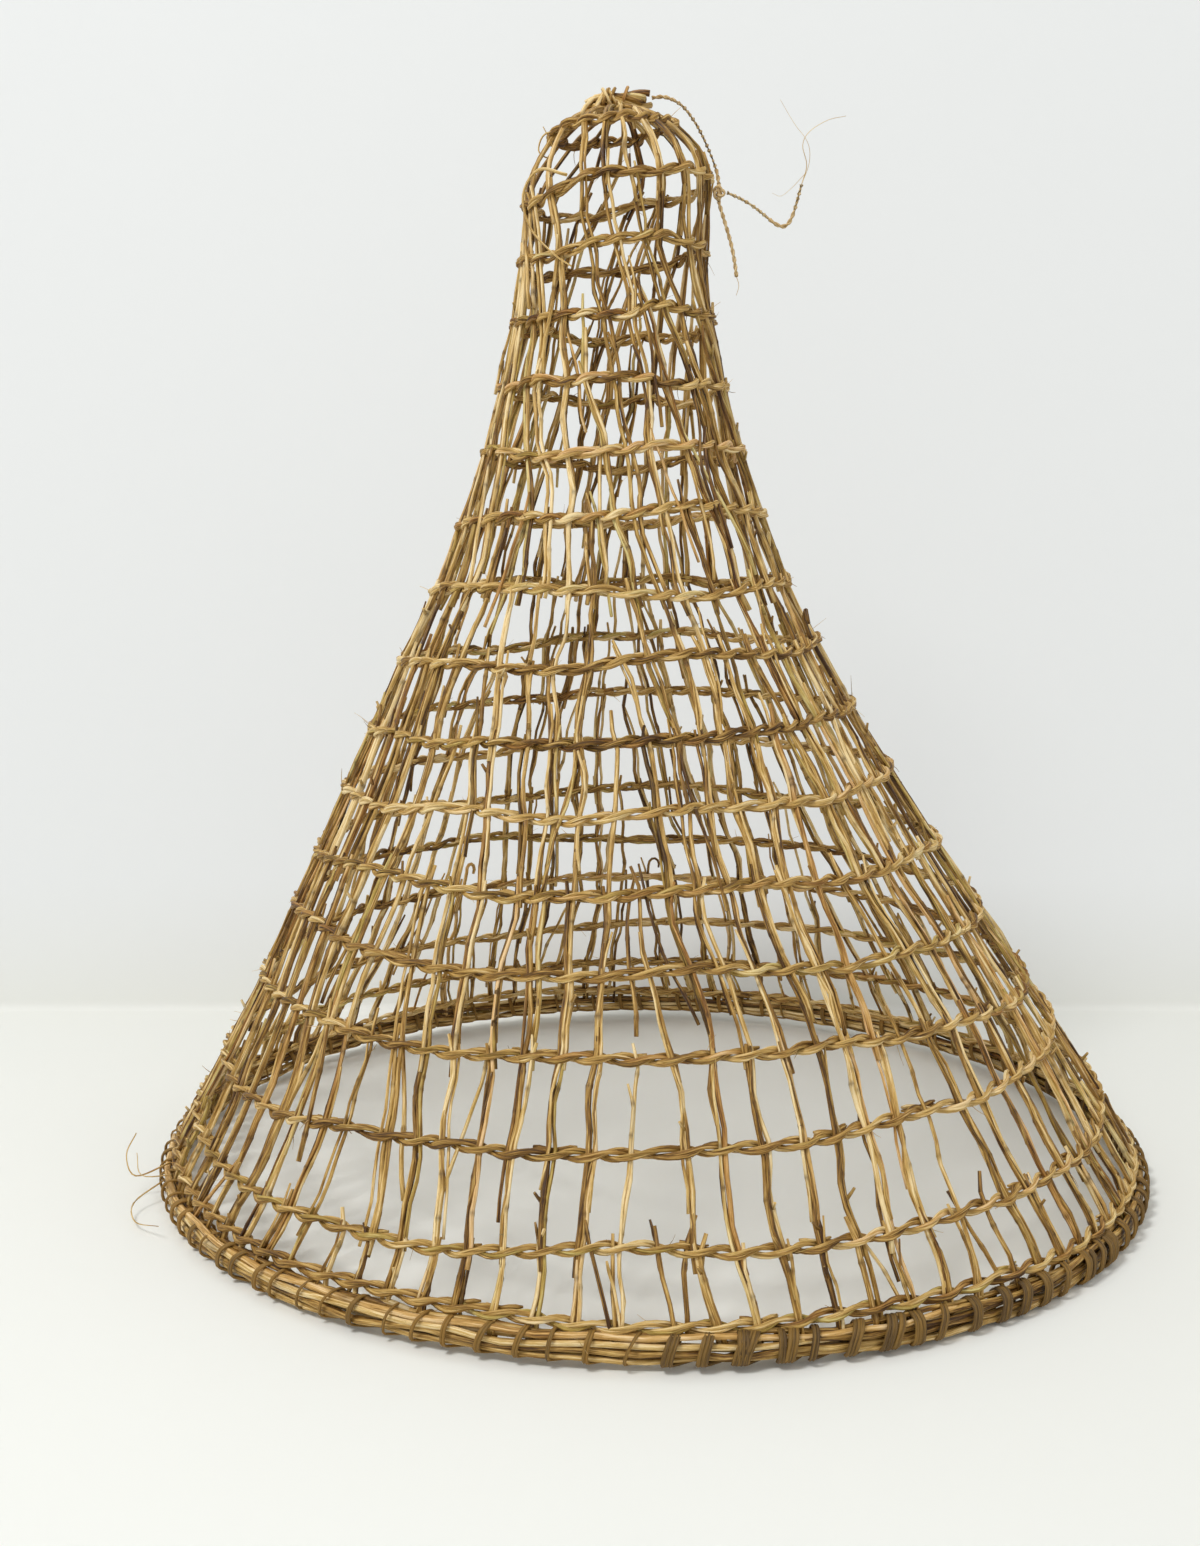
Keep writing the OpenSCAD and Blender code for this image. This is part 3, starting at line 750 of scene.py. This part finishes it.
class BASKET_OT_skirt_ribs(bpy.types.Operator):
    """Lays the stems of the skirt, level by level"""

    bl_idname = "basket.skirt_ribs"
    bl_label = "Skirt ribs"

    def execute(self, context):
        for level in range(NECK_LEVEL, LAST_LEVEL + 1):
            start = max(SHOULDER_ROW, LEVEL_ROWS[level])
            rods = Rods(20 + level)
            for i in range(ribs_in(level)):
                self.stem(rods, level, i, start)
            rods.make(f"skirt_stems_{start:02d}", "rib_stem", [f"skirt_ribs_{start:02d}"])
        return {"FINISHED"}

    def stem(self, rods, level, i, start):
        """A rib's stem from its first row down to where the stems of the next level but one start."""
        rnd = rods.random
        half = -1 if i % in_sector(level) + 0.5 < in_sector(level) / 2 else 1
        side = half * (-1 if level % 2 == 0 else 1)
        new = is_new(level, i) and level > NECK_LEVEL
        top = rib_row_z(start, level, i) + (rnd.uniform(6, 13) if new else rnd.uniform(3, 8)) * MM
        if level >= LAST_LEVEL - 1:
            bottom = RIM_Z - rnd.uniform(1, 4) * MM
        else:
            end_level, end_i = at_level(level, i, level + 2)
            bottom = rib_row_z(LEVEL_ROWS[level + 2], end_level, end_i) - rnd.uniform(2, 9) * MM
        hook = rnd.choice((-1, 1)) * rnd.uniform(2.2, 3.6) * MM if new and rnd.random() < 0.16 else 0
        flare = rnd.uniform(-3, 3) * MM if new or rnd.random() < 0.3 else rnd.uniform(-1, 1) * MM
        lay_rib_stem(rods, level, i, top, bottom, side * rnd.uniform(0.7, 1.5) * MM,
                     sizes().stem / 2 * rnd.uniform(0.75, 1.15), flare=flare, hook=hook)


class BASKET_OT_slanting_stems(bpy.types.Operator):
    """Threads thin spare stems through the weave, each from one rib over to the next"""

    bl_idname = "basket.slanting_stems"
    bl_label = "Slanting stems"
    # Rows, and how many slanting stems start at each
    counts = ((2, 4), (3, 6), (4, 7), (5, 9), (6, 9), (7, 8), (8, 7), (10, 8), (12, 9), (14, 10),
              (16, 10))

    def execute(self, context):
        rods = Rods(41)
        rnd = rods.random
        for row, count in self.counts:
            level = level_of(row)
            for _ in range(count):
                i, over = rnd.randrange(ribs_in(level)), rnd.choice((-1, 1))
                top = rib_row_z(row, level, i) + rnd.uniform(4, 12) * MM
                bottom = max(RIM_Z, top - rnd.uniform(50, 68) * MM)
                gap = 2 * math.pi * wall_radius((top + bottom) / 2) / ribs_in(level)
                lay_stem(rods, level, i, top, bottom, rnd.uniform(-1, 1) * MM,
                         rnd.choice((-1.4, 1.2)) * MM, sizes().stem / 2 * rnd.uniform(0.6, 0.95),
                         foot=over * gap * rnd.uniform(0.7, 1.0))
        rods.make("slanting_stems", "rib_stem", [])
        return {"FINISHED"}


# ---- Twined rows ----------------------------------------------------------------------------------

CROSSING_STEPS = 6
# How far a strand's end draws in over the space of one rib
DRAWN_IN = 3.5 * MM


def strand_place(row, u, k, reach, rise, hold):
    """Where strand k of a row is after u ribs: out over every other rib, in behind those between.
    Past the rib named in hold it stays behind, drawing in."""
    first = math.floor(u)
    (p, out, _), (q, out_q, _) = row_crossing(row, first), row_crossing(row, first + 1)
    t = u - first
    middle, out = p + (q - p) * t, unit(out + (out_q - out) * t)
    if (u - hold[0]) * hold[1] > 0:
        past = abs(u - hold[0])
        hung = UP * rise * 0.6 * math.sin(math.pi * past)
        return middle - out * (reach + DRAWN_IN * past) + hung, out, math.pi
    phase = math.pi * (u + k)
    across, over = math.sin(phase), math.cos(phase)
    out_by = math.copysign(reach * abs(over) ** 1.2, over)
    return middle + out * out_by + UP * rise * across, out, phase


def lay_strand(rods, row, first, last, k, reach, rise):
    """One length of strand from behind rib first to behind rib last: two or three split stems that
    turn about each other, their ends left standing in the basket."""
    rnd = rods.random
    tails = rnd.uniform(0.25, 0.6), rnd.uniform(0.25, 0.6)
    count = round((last - first + sum(tails)) * CROSSING_STEPS)
    places = []
    for u in np.linspace(first - tails[0], last + tails[1], count + 1):
        hold = (first, -1) if u < first else (last, 1)
        places.append(strand_place(row, u, k, reach, rise, hold))
    path = np.array([p for p, _, _ in places])
    outs = np.array([out for _, out, _ in places])
    phase = np.array([turn for _, _, turn in places]) + rnd.uniform(-0.4, 0.4)
    phase = np.unwrap(phase, period=math.pi)
    ahead = unit(np.gradient(path, axis=0))
    lift = unit(np.cross(ahead, outs))
    lift *= np.sign(lift[:, 2:3])
    thick = sizes().split / 2
    splits = 3 if rnd.random() < 0.35 else 2
    tone = rnd.random()
    for s in range(splits):
        turn = phase + 2 * math.pi * s / splits
        loose = 0.82 * thick * (1 + 0.25 * wobble(row, s * 3 + k, first * 0.7))
        offset = lift * np.cos(turn)[:, None] + outs * np.sin(turn)[:, None] * 0.75
        radius = thick * rnd.uniform(0.82, 1.08) * (1 if splits == 2 else 0.8)
        radius = radius * (1 + 0.12 * np.array([wobble(x * 260, s * 5 + row, k) for x in path[:, 0]]))
        radius[0] *= 0.6
        radius[-1] *= 0.5
        own_tone = min(1, max(0, tone + rnd.uniform(-0.25, 0.25)))
        rods.lay(path + loose * offset, radius, outs, 6, 1.15, own_tone)


def lay_hairs(rods, row, count):
    """Fine fibres that have sprung loose from a row's strands."""
    rnd = rods.random
    for _ in range(count):
        p, out, along = row_crossing(row, rnd.randrange(ribs_in(level_of(row))))
        beside = along * rnd.uniform(-6, 6) + out * rnd.uniform(-2, 2.5) + UP * rnd.uniform(-1.5, 1.5)
        root = p + beside * MM
        way = unit(along * rnd.uniform(-1, 1) + UP * rnd.uniform(-0.8, 0.8) + out * rnd.uniform(-0.3, 0.9))
        curl = unit(np.array([rnd.uniform(-1, 1) for _ in range(3)]))
        reach = rnd.uniform(3, 9) * MM
        path = [root + way * reach * t + curl * reach * 0.45 * t * t for t in (0, 0.35, 0.7, 1)]
        radius = rnd.uniform(0.12, 0.22) * MM * np.array((1, 0.9, 0.7, 0.4))
        rods.lay(path, radius, (0.31, 0.52, 0.79), 3)


class BASKET_OT_twined_rows(bpy.types.Operator):
    """Twines each row's two strands around the ribs"""

    bl_idname = "basket.twined_rows"
    bl_label = "Twined rows"

    def execute(self, context):
        for row in range(1, HEM_ROW + 1):
            rods = Rods(100 + row)
            rnd = rods.random
            total = ribs_in(level_of(row))
            reach = sizes().stem / 2 + 0.6 * sizes().split
            rise = 0.78 * sizes().split
            for k in (0, 1):
                start = 2 * (row % 3) + 1 + k
                u = start
                while u < start + total:
                    run = 2 * rnd.randint(3, 7) if total > 30 else 2 * rnd.randint(3, 5)
                    end = min(u + run, start + total)
                    if start + total - end < 5:
                        end = start + total
                    lay_strand(rods, row, u, end, k, reach, rise)
                    u = end
            lay_hairs(rods, row, total // 2)
            rods.make(f"twining_{row:02d}", "weft_strand", [row_node(row)])
        return {"FINISHED"}


# ---- Rim ------------------------------------------------------------------------------------------

# How many turns of lashing go to each rib, and the angles of extra turns that lie close to others
TURNS_TO_A_RIB = 1.2
CROWDED_TURNS = 276.5, 277.4, 281, 291.5, 318, 322


def rim_frame(turn):
    """The rim's middle at an angle in radians, and the way out."""
    out = np.array((math.cos(turn), math.sin(turn), 0))
    return RIM_R * out + (RIM_Z - RIM_DROP) * UP, out


class BASKET_OT_rim(bpy.types.Operator):
    """Lays the rim's stems and lashes them"""

    bl_idname = "basket.rim"
    bl_label = "Lashed rim"

    def execute(self, context):
        for side, name, node, seed in ((1, "rim_stems_outer", "rim_outer_stems", 31),
                                       (-1, "rim_stems_inner", "rim_inner_stems", 32)):
            rods = Rods(seed)
            for height in (-1.5, -0.5, 0.5, 1.5):
                self.hoop(rods, side, height)
            rods.make(name, "rim_stem", [node])
        rods = Rods(33)
        gaps = round(TURNS_TO_A_RIB * ribs_in(LAST_LEVEL))
        turns = [2 * math.pi * (j + rods.random.uniform(-0.16, 0.16)) / gaps for j in range(gaps)]
        turns = sorted(turns + [math.radians(angle) for angle in CROWDED_TURNS])
        for here, there in zip(turns, turns[1:] + [turns[0] + 2 * math.pi]):
            self.turn(rods, here, there)
        rods.make("rim_lashing_turns", "lashing_bark", ["rim_lashing"])
        return {"FINISHED"}

    def hoop(self, rods, side, height):
        """One of the rim's lines of stems: lengths that follow each other, ends overlapping."""
        rnd = rods.random
        thick = sizes().rim_stem / 2
        start = rnd.uniform(0, 2 * math.pi)
        turn = start
        while turn < start + 2 * math.pi:
            end = min(turn + rnd.uniform(1.3, 2.2), start + 2 * math.pi + 0.06)
            count = max(4, round((end - turn) * RIM_R / (9 * MM)))
            wander, girth = rnd.uniform(0, 99), thick * rnd.uniform(0.8, 1.08)
            path, outs, joints = [], [], []
            spots = [rnd.uniform(turn, end) for _ in range(3)]
            for angle in np.linspace(turn - 0.03, end + 0.03, count):
                middle, out = rim_frame(angle)
                away = thick + 0.5 * MM + 1.1 * MM * wobble(wander, angle * 9, 0) - 0.35 * MM * abs(height)
                up = height * 1.85 * thick + 2.6 * MM * wobble(angle * 8, wander, 5)
                path.append(middle + out * side * away + UP * up)
                outs.append(out)
                joints.append(max(math.exp(-((angle - spot) * RIM_R / (4 * MM)) ** 2) for spot in spots))
            joints = np.array(joints)
            radius = girth * np.linspace(1.05, 0.8, count) * (1 + 0.15 * joints)
            radius[[0, -1]] *= 0.6
            rods.lay(path, radius, outs, 7, 0.95, joint=joints * 0.6)
            turn = end

    def turn(self, rods, here, there):
        """One turn of lashing: over the rim, down outside and under, then on along the inside.
        It is thin and double on the left, and broad and dark on the right."""
        rnd = rods.random
        right = math.cos(here - math.radians(325)) > 0.55
        cords = rnd.choice((2, 3, 3) if right else (1, 2, 2, 2))
        thick = sizes().lashing / 2 * rnd.uniform(*((0.95, 1.2) if right else (0.75, 1.0)))
        slant = rnd.uniform(0.002, 0.013)
        tone = rnd.uniform(*((0, 0.5) if right else (0.4, 0.95)))
        high, wide = RIM_Z - RIM_DROP - 0.8 * MM, 4.9 * MM
        for cord in range(cords):
            beside = (cord - (cords - 1) / 2) * thick * 1.8 / RIM_R
            path, outs = [], []
            for step in np.linspace(0, 1, 19):
                angle = math.pi * (1.25 - 2 * step)
                onward = max(0, (step - 0.8) / 0.2)
                place = here + beside + slant * math.sin(2 * math.pi * step)
                middle, out = rim_frame(place + (there - here) * onward ** 2)
                across, up = math.cos(angle), math.sin(angle)
                round_off = (across ** 4 + up ** 4) ** -0.15
                away = out * across * wide * round_off + UP * up * high
                path.append(middle + away + UP * 0.3 * MM * wobble(here * 40, step * 5, cord))
                outs.append(unit(away))
            rods.lay(path, thick * rnd.uniform(0.9, 1.1), outs, 5, 1.25,
                     tone + rnd.uniform(-0.1, 0.1), 0.5)


# ---- Crown and string -----------------------------------------------------------------------------

def lay_plies(rods, path, diameter):
    """A string along a path: two plies that turn about each other once in each pitch."""
    path = np.array(path)
    ahead = unit(np.gradient(path, axis=0))
    face = unit(np.cross(ahead, (0.1, 1, 0.2)))
    side = np.cross(ahead, face)
    for start in (0, math.pi):
        angle = (start + 2 * math.pi * lengths_along(path) / STRING_PITCH)[:, None]
        swing = face * np.cos(angle) + side * np.sin(angle)
        tone = rods.random.uniform(0.3, 0.8)
        rods.lay(path + swing * diameter / 4, diameter / 4, swing, 6, 1.0, tone, 0.5)


def lay_threads(rods, ways):
    """Fine threads, each through its own places in millimetres."""
    for girth, points in ways:
        path = curve(np.array(points) * MM, 5)
        radius = girth * MM * np.linspace(1, 0.5, len(path))
        rods.lay(path, radius, (0.2, 0.9, 0.37), 4, 1.0, 0.7, 0.5)


class BASKET_OT_string(bpy.types.Operator):
    """Twists the string over the crown, its knot and its two free tails"""

    bl_idname = "basket.string"
    bl_label = "String, knot and tails"

    def execute(self, context):
        self.tail("tail_short", "string_tail_short", SHORT_TAIL, 4)
        self.tail("tail_long", "string_tail_long", LONG_TAIL, 3)
        rods = Rods(43)
        lay_plies(rods, curve(np.array(STRING_POINTS) * MM, 5), sizes().string)
        rods.make("string_over_crown", "twisted_string", ["crown_string"], lie=False)
        self.knot()
        return {"FINISHED"}

    def tail(self, name, node, points, steps):
        thick = sizes().string
        rods = Rods(len(points))
        path = eased(np.array(points) * MM, steps)
        lay_plies(rods, path, thick)
        piece = rods.make(name, "twisted_string", [node], lie=False)

    def knot(self):
        """The knot: a loop that winds through itself around a short core."""
        knot = np.array(middle_of("tie_knot"))
        rods = Rods(44)
        loop = []
        for t in np.linspace(0, 2 * math.pi, 49):
            swell = 1.75 + 0.75 * math.cos(3 * t)
            wound = swell * math.cos(2 * t), 1.3 * math.sin(3 * t), 1.05 * swell * math.sin(2 * t)
            loop.append(knot + np.array(wound) * MM)
        rods.lay(loop, 0.62 * MM, (0.3, 0.8, 0.2), 6, 1.0, 0.5, 0.5)
        core = [knot + UP * height * MM for height in (-3.6, -1.5, 1.5, 3.6)]
        rods.lay(core, 0.9 * MM, (0, 1, 0), 8, 1.0, 0.4, 0.5)
        rods.make("knot_of_string", "twisted_string", ["tie_knot"], lie=False)


class BASKET_OT_crown(bpy.types.Operator):
    """Binds the twisted bundle on the crown"""

    bl_idname = "basket.crown"
    bl_label = "Crown bundle and binding"
    # Stem ends that stand up around the bundle: how far each is to the right and to the back of
    # its middle, and how high, in millimetres
    ends = ((-13, -5, 3.2), (-11, 2, 4.0), (-8, -6, 4.4), (-4, 5, 3.6), (2, -7, 1.2), (7, 6, 2.2))
    # Each group of binding turns: where it starts, how many, their pitch and their slant
    turns = ((-5.0, 2, 2.6, 2.3), (0.5, 2, -2.2, -2.6), (4.0, 1, 1.8, 1.8))

    def execute(self, context):
        self.bundle()
        self.binding()
        return {"FINISHED"}

    def bundle(self):
        """Eight stems twisted together, climbing to the right, and the ends around them."""
        low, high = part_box("crown_bundle")
        middle = (low + high) / 2
        rods = Rods(51)
        rnd = rods.random
        stems = 8
        for k in range(stems):
            path = []
            ring = rnd.uniform(2.0, 3.2) * MM if k else 0
            first, last = rnd.uniform(-0.04, 0.22), rnd.uniform(0.86, 1.02)
            for t in np.linspace(first, last, 12):
                angle = 2 * math.pi * (k / (stems - 1) + 0.7 * t)
                climb = 4.5 * MM * (t - 0.75) - 14 * MM * max(0, 0.4 - t) ** 2
                path.append((low.x + (high.x - low.x) * t, ring * math.cos(angle) + 7 * MM * (t - 0.5),
                             middle.z + ring * math.sin(angle) * 0.9 + climb))
            radius = 1.3 * MM * rnd.uniform(0.75, 1.1) * np.linspace(0.85, 1.05, 12)
            rods.lay(path, radius, (0.1, 0.3, 1), 7, 1.1)
        top = np.array((middle.x, 0, high.z))
        for lean, back, height in self.ends:
            root = top + np.array((1.25 * lean, 1.5 * back, -14)) * MM
            tip = top + np.array((0.7 * lean, 0.4 * back, height - 6.5)) * MM
            knee = root * 0.6 + tip * 0.4 + 1.5 * MM * UP
            path = [root, knee, tip, tip + np.array((-0.3 * lean, 0, 0.6)) * MM]
            rods.lay(path, 1.05 * MM * rnd.uniform(0.8, 1.1), (lean, back, 9), 6, 1.0)
        rods.make("bundle_of_stems", "rib_stem", ["crown_bundle"], lie=False)

    def binding(self):
        """Groups of slanting turns around the bundle."""
        low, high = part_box("crown_binding")
        rods = Rods(52)
        ring = (high.z - low.z) / 2 - 0.9 * MM
        centre = np.array((low + high) / 2)
        for start, turns, pitch, tilt in self.turns:
            path, outs = [], []
            for a in np.linspace(-0.5, 2 * math.pi * turns, 18 * turns + 1):
                out = np.array((0, math.cos(a), math.sin(a)))
                slide = start + a / 2 / math.pi * pitch + tilt * math.sin(a)
                swell = 0.9 + 0.06 * wobble(a * 0.7, start, 0)
                path.append(centre + ring * swell * out + np.array((1, 0.25, 0.16)) * slide * MM)
                outs.append(out)
            rods.lay(path, 0.65 * MM, outs, 6, 1.2)
        rods.make("bundle_binding", "weft_strand", ["crown_binding"], lie=False)


class BASKET_OT_loose_ends(bpy.types.Operator):
    """Adds the fibres and thin stems that have sprung from the weave"""

    bl_idname = "basket.loose_ends"
    bl_label = "Loose ends"

    # Each thread's radius and its places, in millimetres
    tail_threads = (
        (0.2, [(64, -15, 441), (66, -16, 449), (64, -17, 457), (67, -16, 463), (75, -15, 468),
               (83, -14, 470)]),
        (0.14, [(64, -15, 441), (67, -17, 450), (66, -18, 458), (60, -18, 466), (54, -17, 476)]),
        (0.12, [(65, -16, 445), (60, -14, 440), (55, -16, 436), (51, -17, 437)]),
        (0.18, [(36, -15, 402), (37, -16, 398), (36, -15, 394)]),
    )
    sprung_fibres = (
        (0.75, [(-38, -38, 440), (-50, -34, 443), (-57, -28, 434), (-54, -30, 420), (-44, -37, 408),
                (-36, -41, 402)]),
        (0.45, [(-38, -8, 465), (-48, -8, 464), (-51, -8, 457), (-47, -8, 454), (-45, -8, 459),
                (-49, -8, 467)]),
        (0.5, [(-214, -60, 14), (-228, -66, 10), (-233, -62, 18), (-230, -56, 26)]),
        (0.42, [(-215, -68, 9), (-224, -84, 5), (-219, -100, 3), (-206, -112, 6)]),
        (0.35, [(-211, -70, 12), (-222, -78, 15), (-226, -70, 22)]),
    )

    def execute(self, context):
        rods = Rods(61)
        lay_threads(rods, self.tail_threads)
        rods.make("tail_threads", "twisted_string", [], lie=False)
        rods = Rods(62)
        lay_threads(rods, self.sprung_fibres)
        rods.make("sprung_fibres", "weft_strand", [])
        return {"FINISHED"}


# ---- Stage ----------------------------------------------------------------------------------------

LENS, SENSOR = 38.4, 36
CAMERA_PLACE, CAMERA_PITCH = (-0.024, -0.762, 0.279), math.radians(90 - 7.4)
ROOM_LIGHT = 0.56
# The table's half width and depth before the backdrop, the backdrop's height, how far it stands
# behind the basket, and the radius of the bend between them
TABLE, BACKDROP, BEHIND, BEND = 2.5, 3, 0.008, 0.005


class BASKET_OT_stage(bpy.types.Operator):
    """Sets up the camera, table, backdrop and soft light"""

    bl_idname = "basket.stage"
    bl_label = "Stage"

    def execute(self, context):
        scene = context.scene
        camera = bpy.data.objects.new("camera", bpy.data.cameras.new("camera"))
        camera.data.lens = LENS
        camera.data.sensor_width = SENSOR
        camera.location = CAMERA_PLACE
        camera.rotation_euler = (CAMERA_PITCH, 0, 0)
        scene.collection.objects.link(camera)
        scene.camera = camera
        scene.view_settings.view_transform = "Standard"
        self.table()
        self.light("key", (-0.8, -1.0, 1.8), 0.5, 22)
        self.light("fill", (1.3, -0.6, 1.0), 1.2, 2.5)
        world = bpy.data.worlds.new("room")
        world.use_nodes = True
        background = world.node_tree.nodes["Background"]
        background.inputs["Color"].default_value = (1, 1, 1, 1)
        background.inputs["Strength"].default_value = ROOM_LIGHT
        scene.world = world
        return {"FINISHED"}

    def table(self):
        """Table and backdrop: one sheet that turns up behind the basket."""
        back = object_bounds()[1][1] + BEHIND
        bm = bmesh.new()
        edges = [bm.edges.new([bm.verts.new((x, -TABLE, 0)) for x in (-TABLE, TABLE)])]
        bend = [(back - BEND + BEND * math.sin(a), BEND * (1 - math.cos(a)))
                for a in np.linspace(0, math.pi / 2, 7)]
        last = (-TABLE, 0)
        for y, z in (*bend, (back, BACKDROP)):
            edges = pushed_on(bm, edges, (0, y - last[0], z - last[1]))
            last = (y, z)
        bm.normal_update()
        bm.faces.ensure_lookup_table()
        if bm.faces[0].normal.z < 0:
            bmesh.ops.reverse_faces(bm, faces=bm.faces)
        for face in bm.faces:
            face.smooth = True
        mesh = bpy.data.meshes.new("table")
        bm.to_mesh(mesh)
        bm.free()
        table = bpy.data.objects.new("table", mesh)
        bpy.context.scene.collection.objects.link(table)
        mesh.materials.append(self.paper())
        table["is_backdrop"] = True

    def paper(self):
        """The pale sheet: table low down, backdrop above it. It is clear from behind."""
        finish = Finish("pale_sheet")
        place = finish.node("ShaderNodeTexCoord", {}, {}).outputs["Object"]
        height = Value(finish, finish.node("ShaderNodeSeparateXYZ", {}, {0: place}).outputs["Z"])
        mottle = finish.noise(place, (9, 9, 9), 4.0)
        upright = (height * 12).clamped()
        base = finish.mix(upright, (*colours().floor, 1), (*colours().wall, 1))
        base = finish.mix(mottle * 0.05, base, (*linear(205, 205, 200), 1))
        finish.feed(finish.surface.inputs["Base Color"], base)
        finish.surface.inputs["Roughness"].default_value = 0.85
        glow = finish.node("ShaderNodeEmission", {}, {"Color": (*colours().wall, 1), "Strength": 1.0})
        seen = Value(finish, finish.node("ShaderNodeLightPath", {}, {}).outputs["Is Camera Ray"])
        mixed = finish.node("ShaderNodeMixShader", {}, {
            0: seen * upright * 0.6, 1: finish.surface.outputs[0], 2: glow.outputs[0]})
        behind = finish.node("ShaderNodeNewGeometry", {}, {}).outputs["Backfacing"]
        clear = finish.node("ShaderNodeBsdfTransparent", {}, {})
        sheet = finish.node("ShaderNodeMixShader", {}, {
            0: behind, 1: mixed.outputs[0], 2: clear.outputs[0]})
        finish.feed(finish.tree.nodes["Material Output"].inputs["Surface"], sheet.outputs[0])
        return finish.material

    def light(self, name, place, size, power):
        lamp = bpy.data.lights.new(name, "AREA")
        lamp.size, lamp.energy = size, power
        lamp_object = bpy.data.objects.new(name, lamp)
        lamp_object.location = place
        towards = Vector((0, 0, 0.2)) - Vector(place)
        lamp_object.rotation_euler = towards.to_track_quat("-Z", "Y").to_euler()
        bpy.context.scene.collection.objects.link(lamp_object)


class BASKET_PT_panel(bpy.types.Panel):
    """Lists the steps that build the basket"""

    bl_idname = "BASKET_PT_panel"
    bl_label = "Basket Hat"
    bl_space_type = "VIEW_3D"
    bl_region_type = "UI"
    bl_category = "Basket Hat"

    def draw(self, context):
        for group in (sizes(), colours()):
            for key in group.bl_rna.properties.keys():
                if key not in ("rna_type", "name"):
                    self.layout.prop(group, key)
        for step in STEPS:
            self.layout.operator(step.bl_idname)


STEPS = (BASKET_OT_stage, BASKET_OT_string, BASKET_OT_neck_ribs, BASKET_OT_skirt_ribs,
         BASKET_OT_slanting_stems, BASKET_OT_twined_rows, BASKET_OT_rim, BASKET_OT_crown,
         BASKET_OT_loose_ends)
CLASSES = (BasketSizes, BasketColours, *STEPS, BASKET_PT_panel)


def register():
    for cls in CLASSES:
        bpy.utils.register_class(cls)
    bpy.types.Scene.basket_sizes = bpy.props.PointerProperty(type=BasketSizes)
    bpy.types.Scene.basket_colours = bpy.props.PointerProperty(type=BasketColours)


def unregister():
    del bpy.types.Scene.basket_colours
    del bpy.types.Scene.basket_sizes
    for cls in reversed(CLASSES):
        bpy.utils.unregister_class(cls)


def main():
    register()
    for step in STEPS:
        group, name = step.bl_idname.split(".")
        getattr(getattr(bpy.ops, group), name)()


if __name__ == "__main__":
    main()
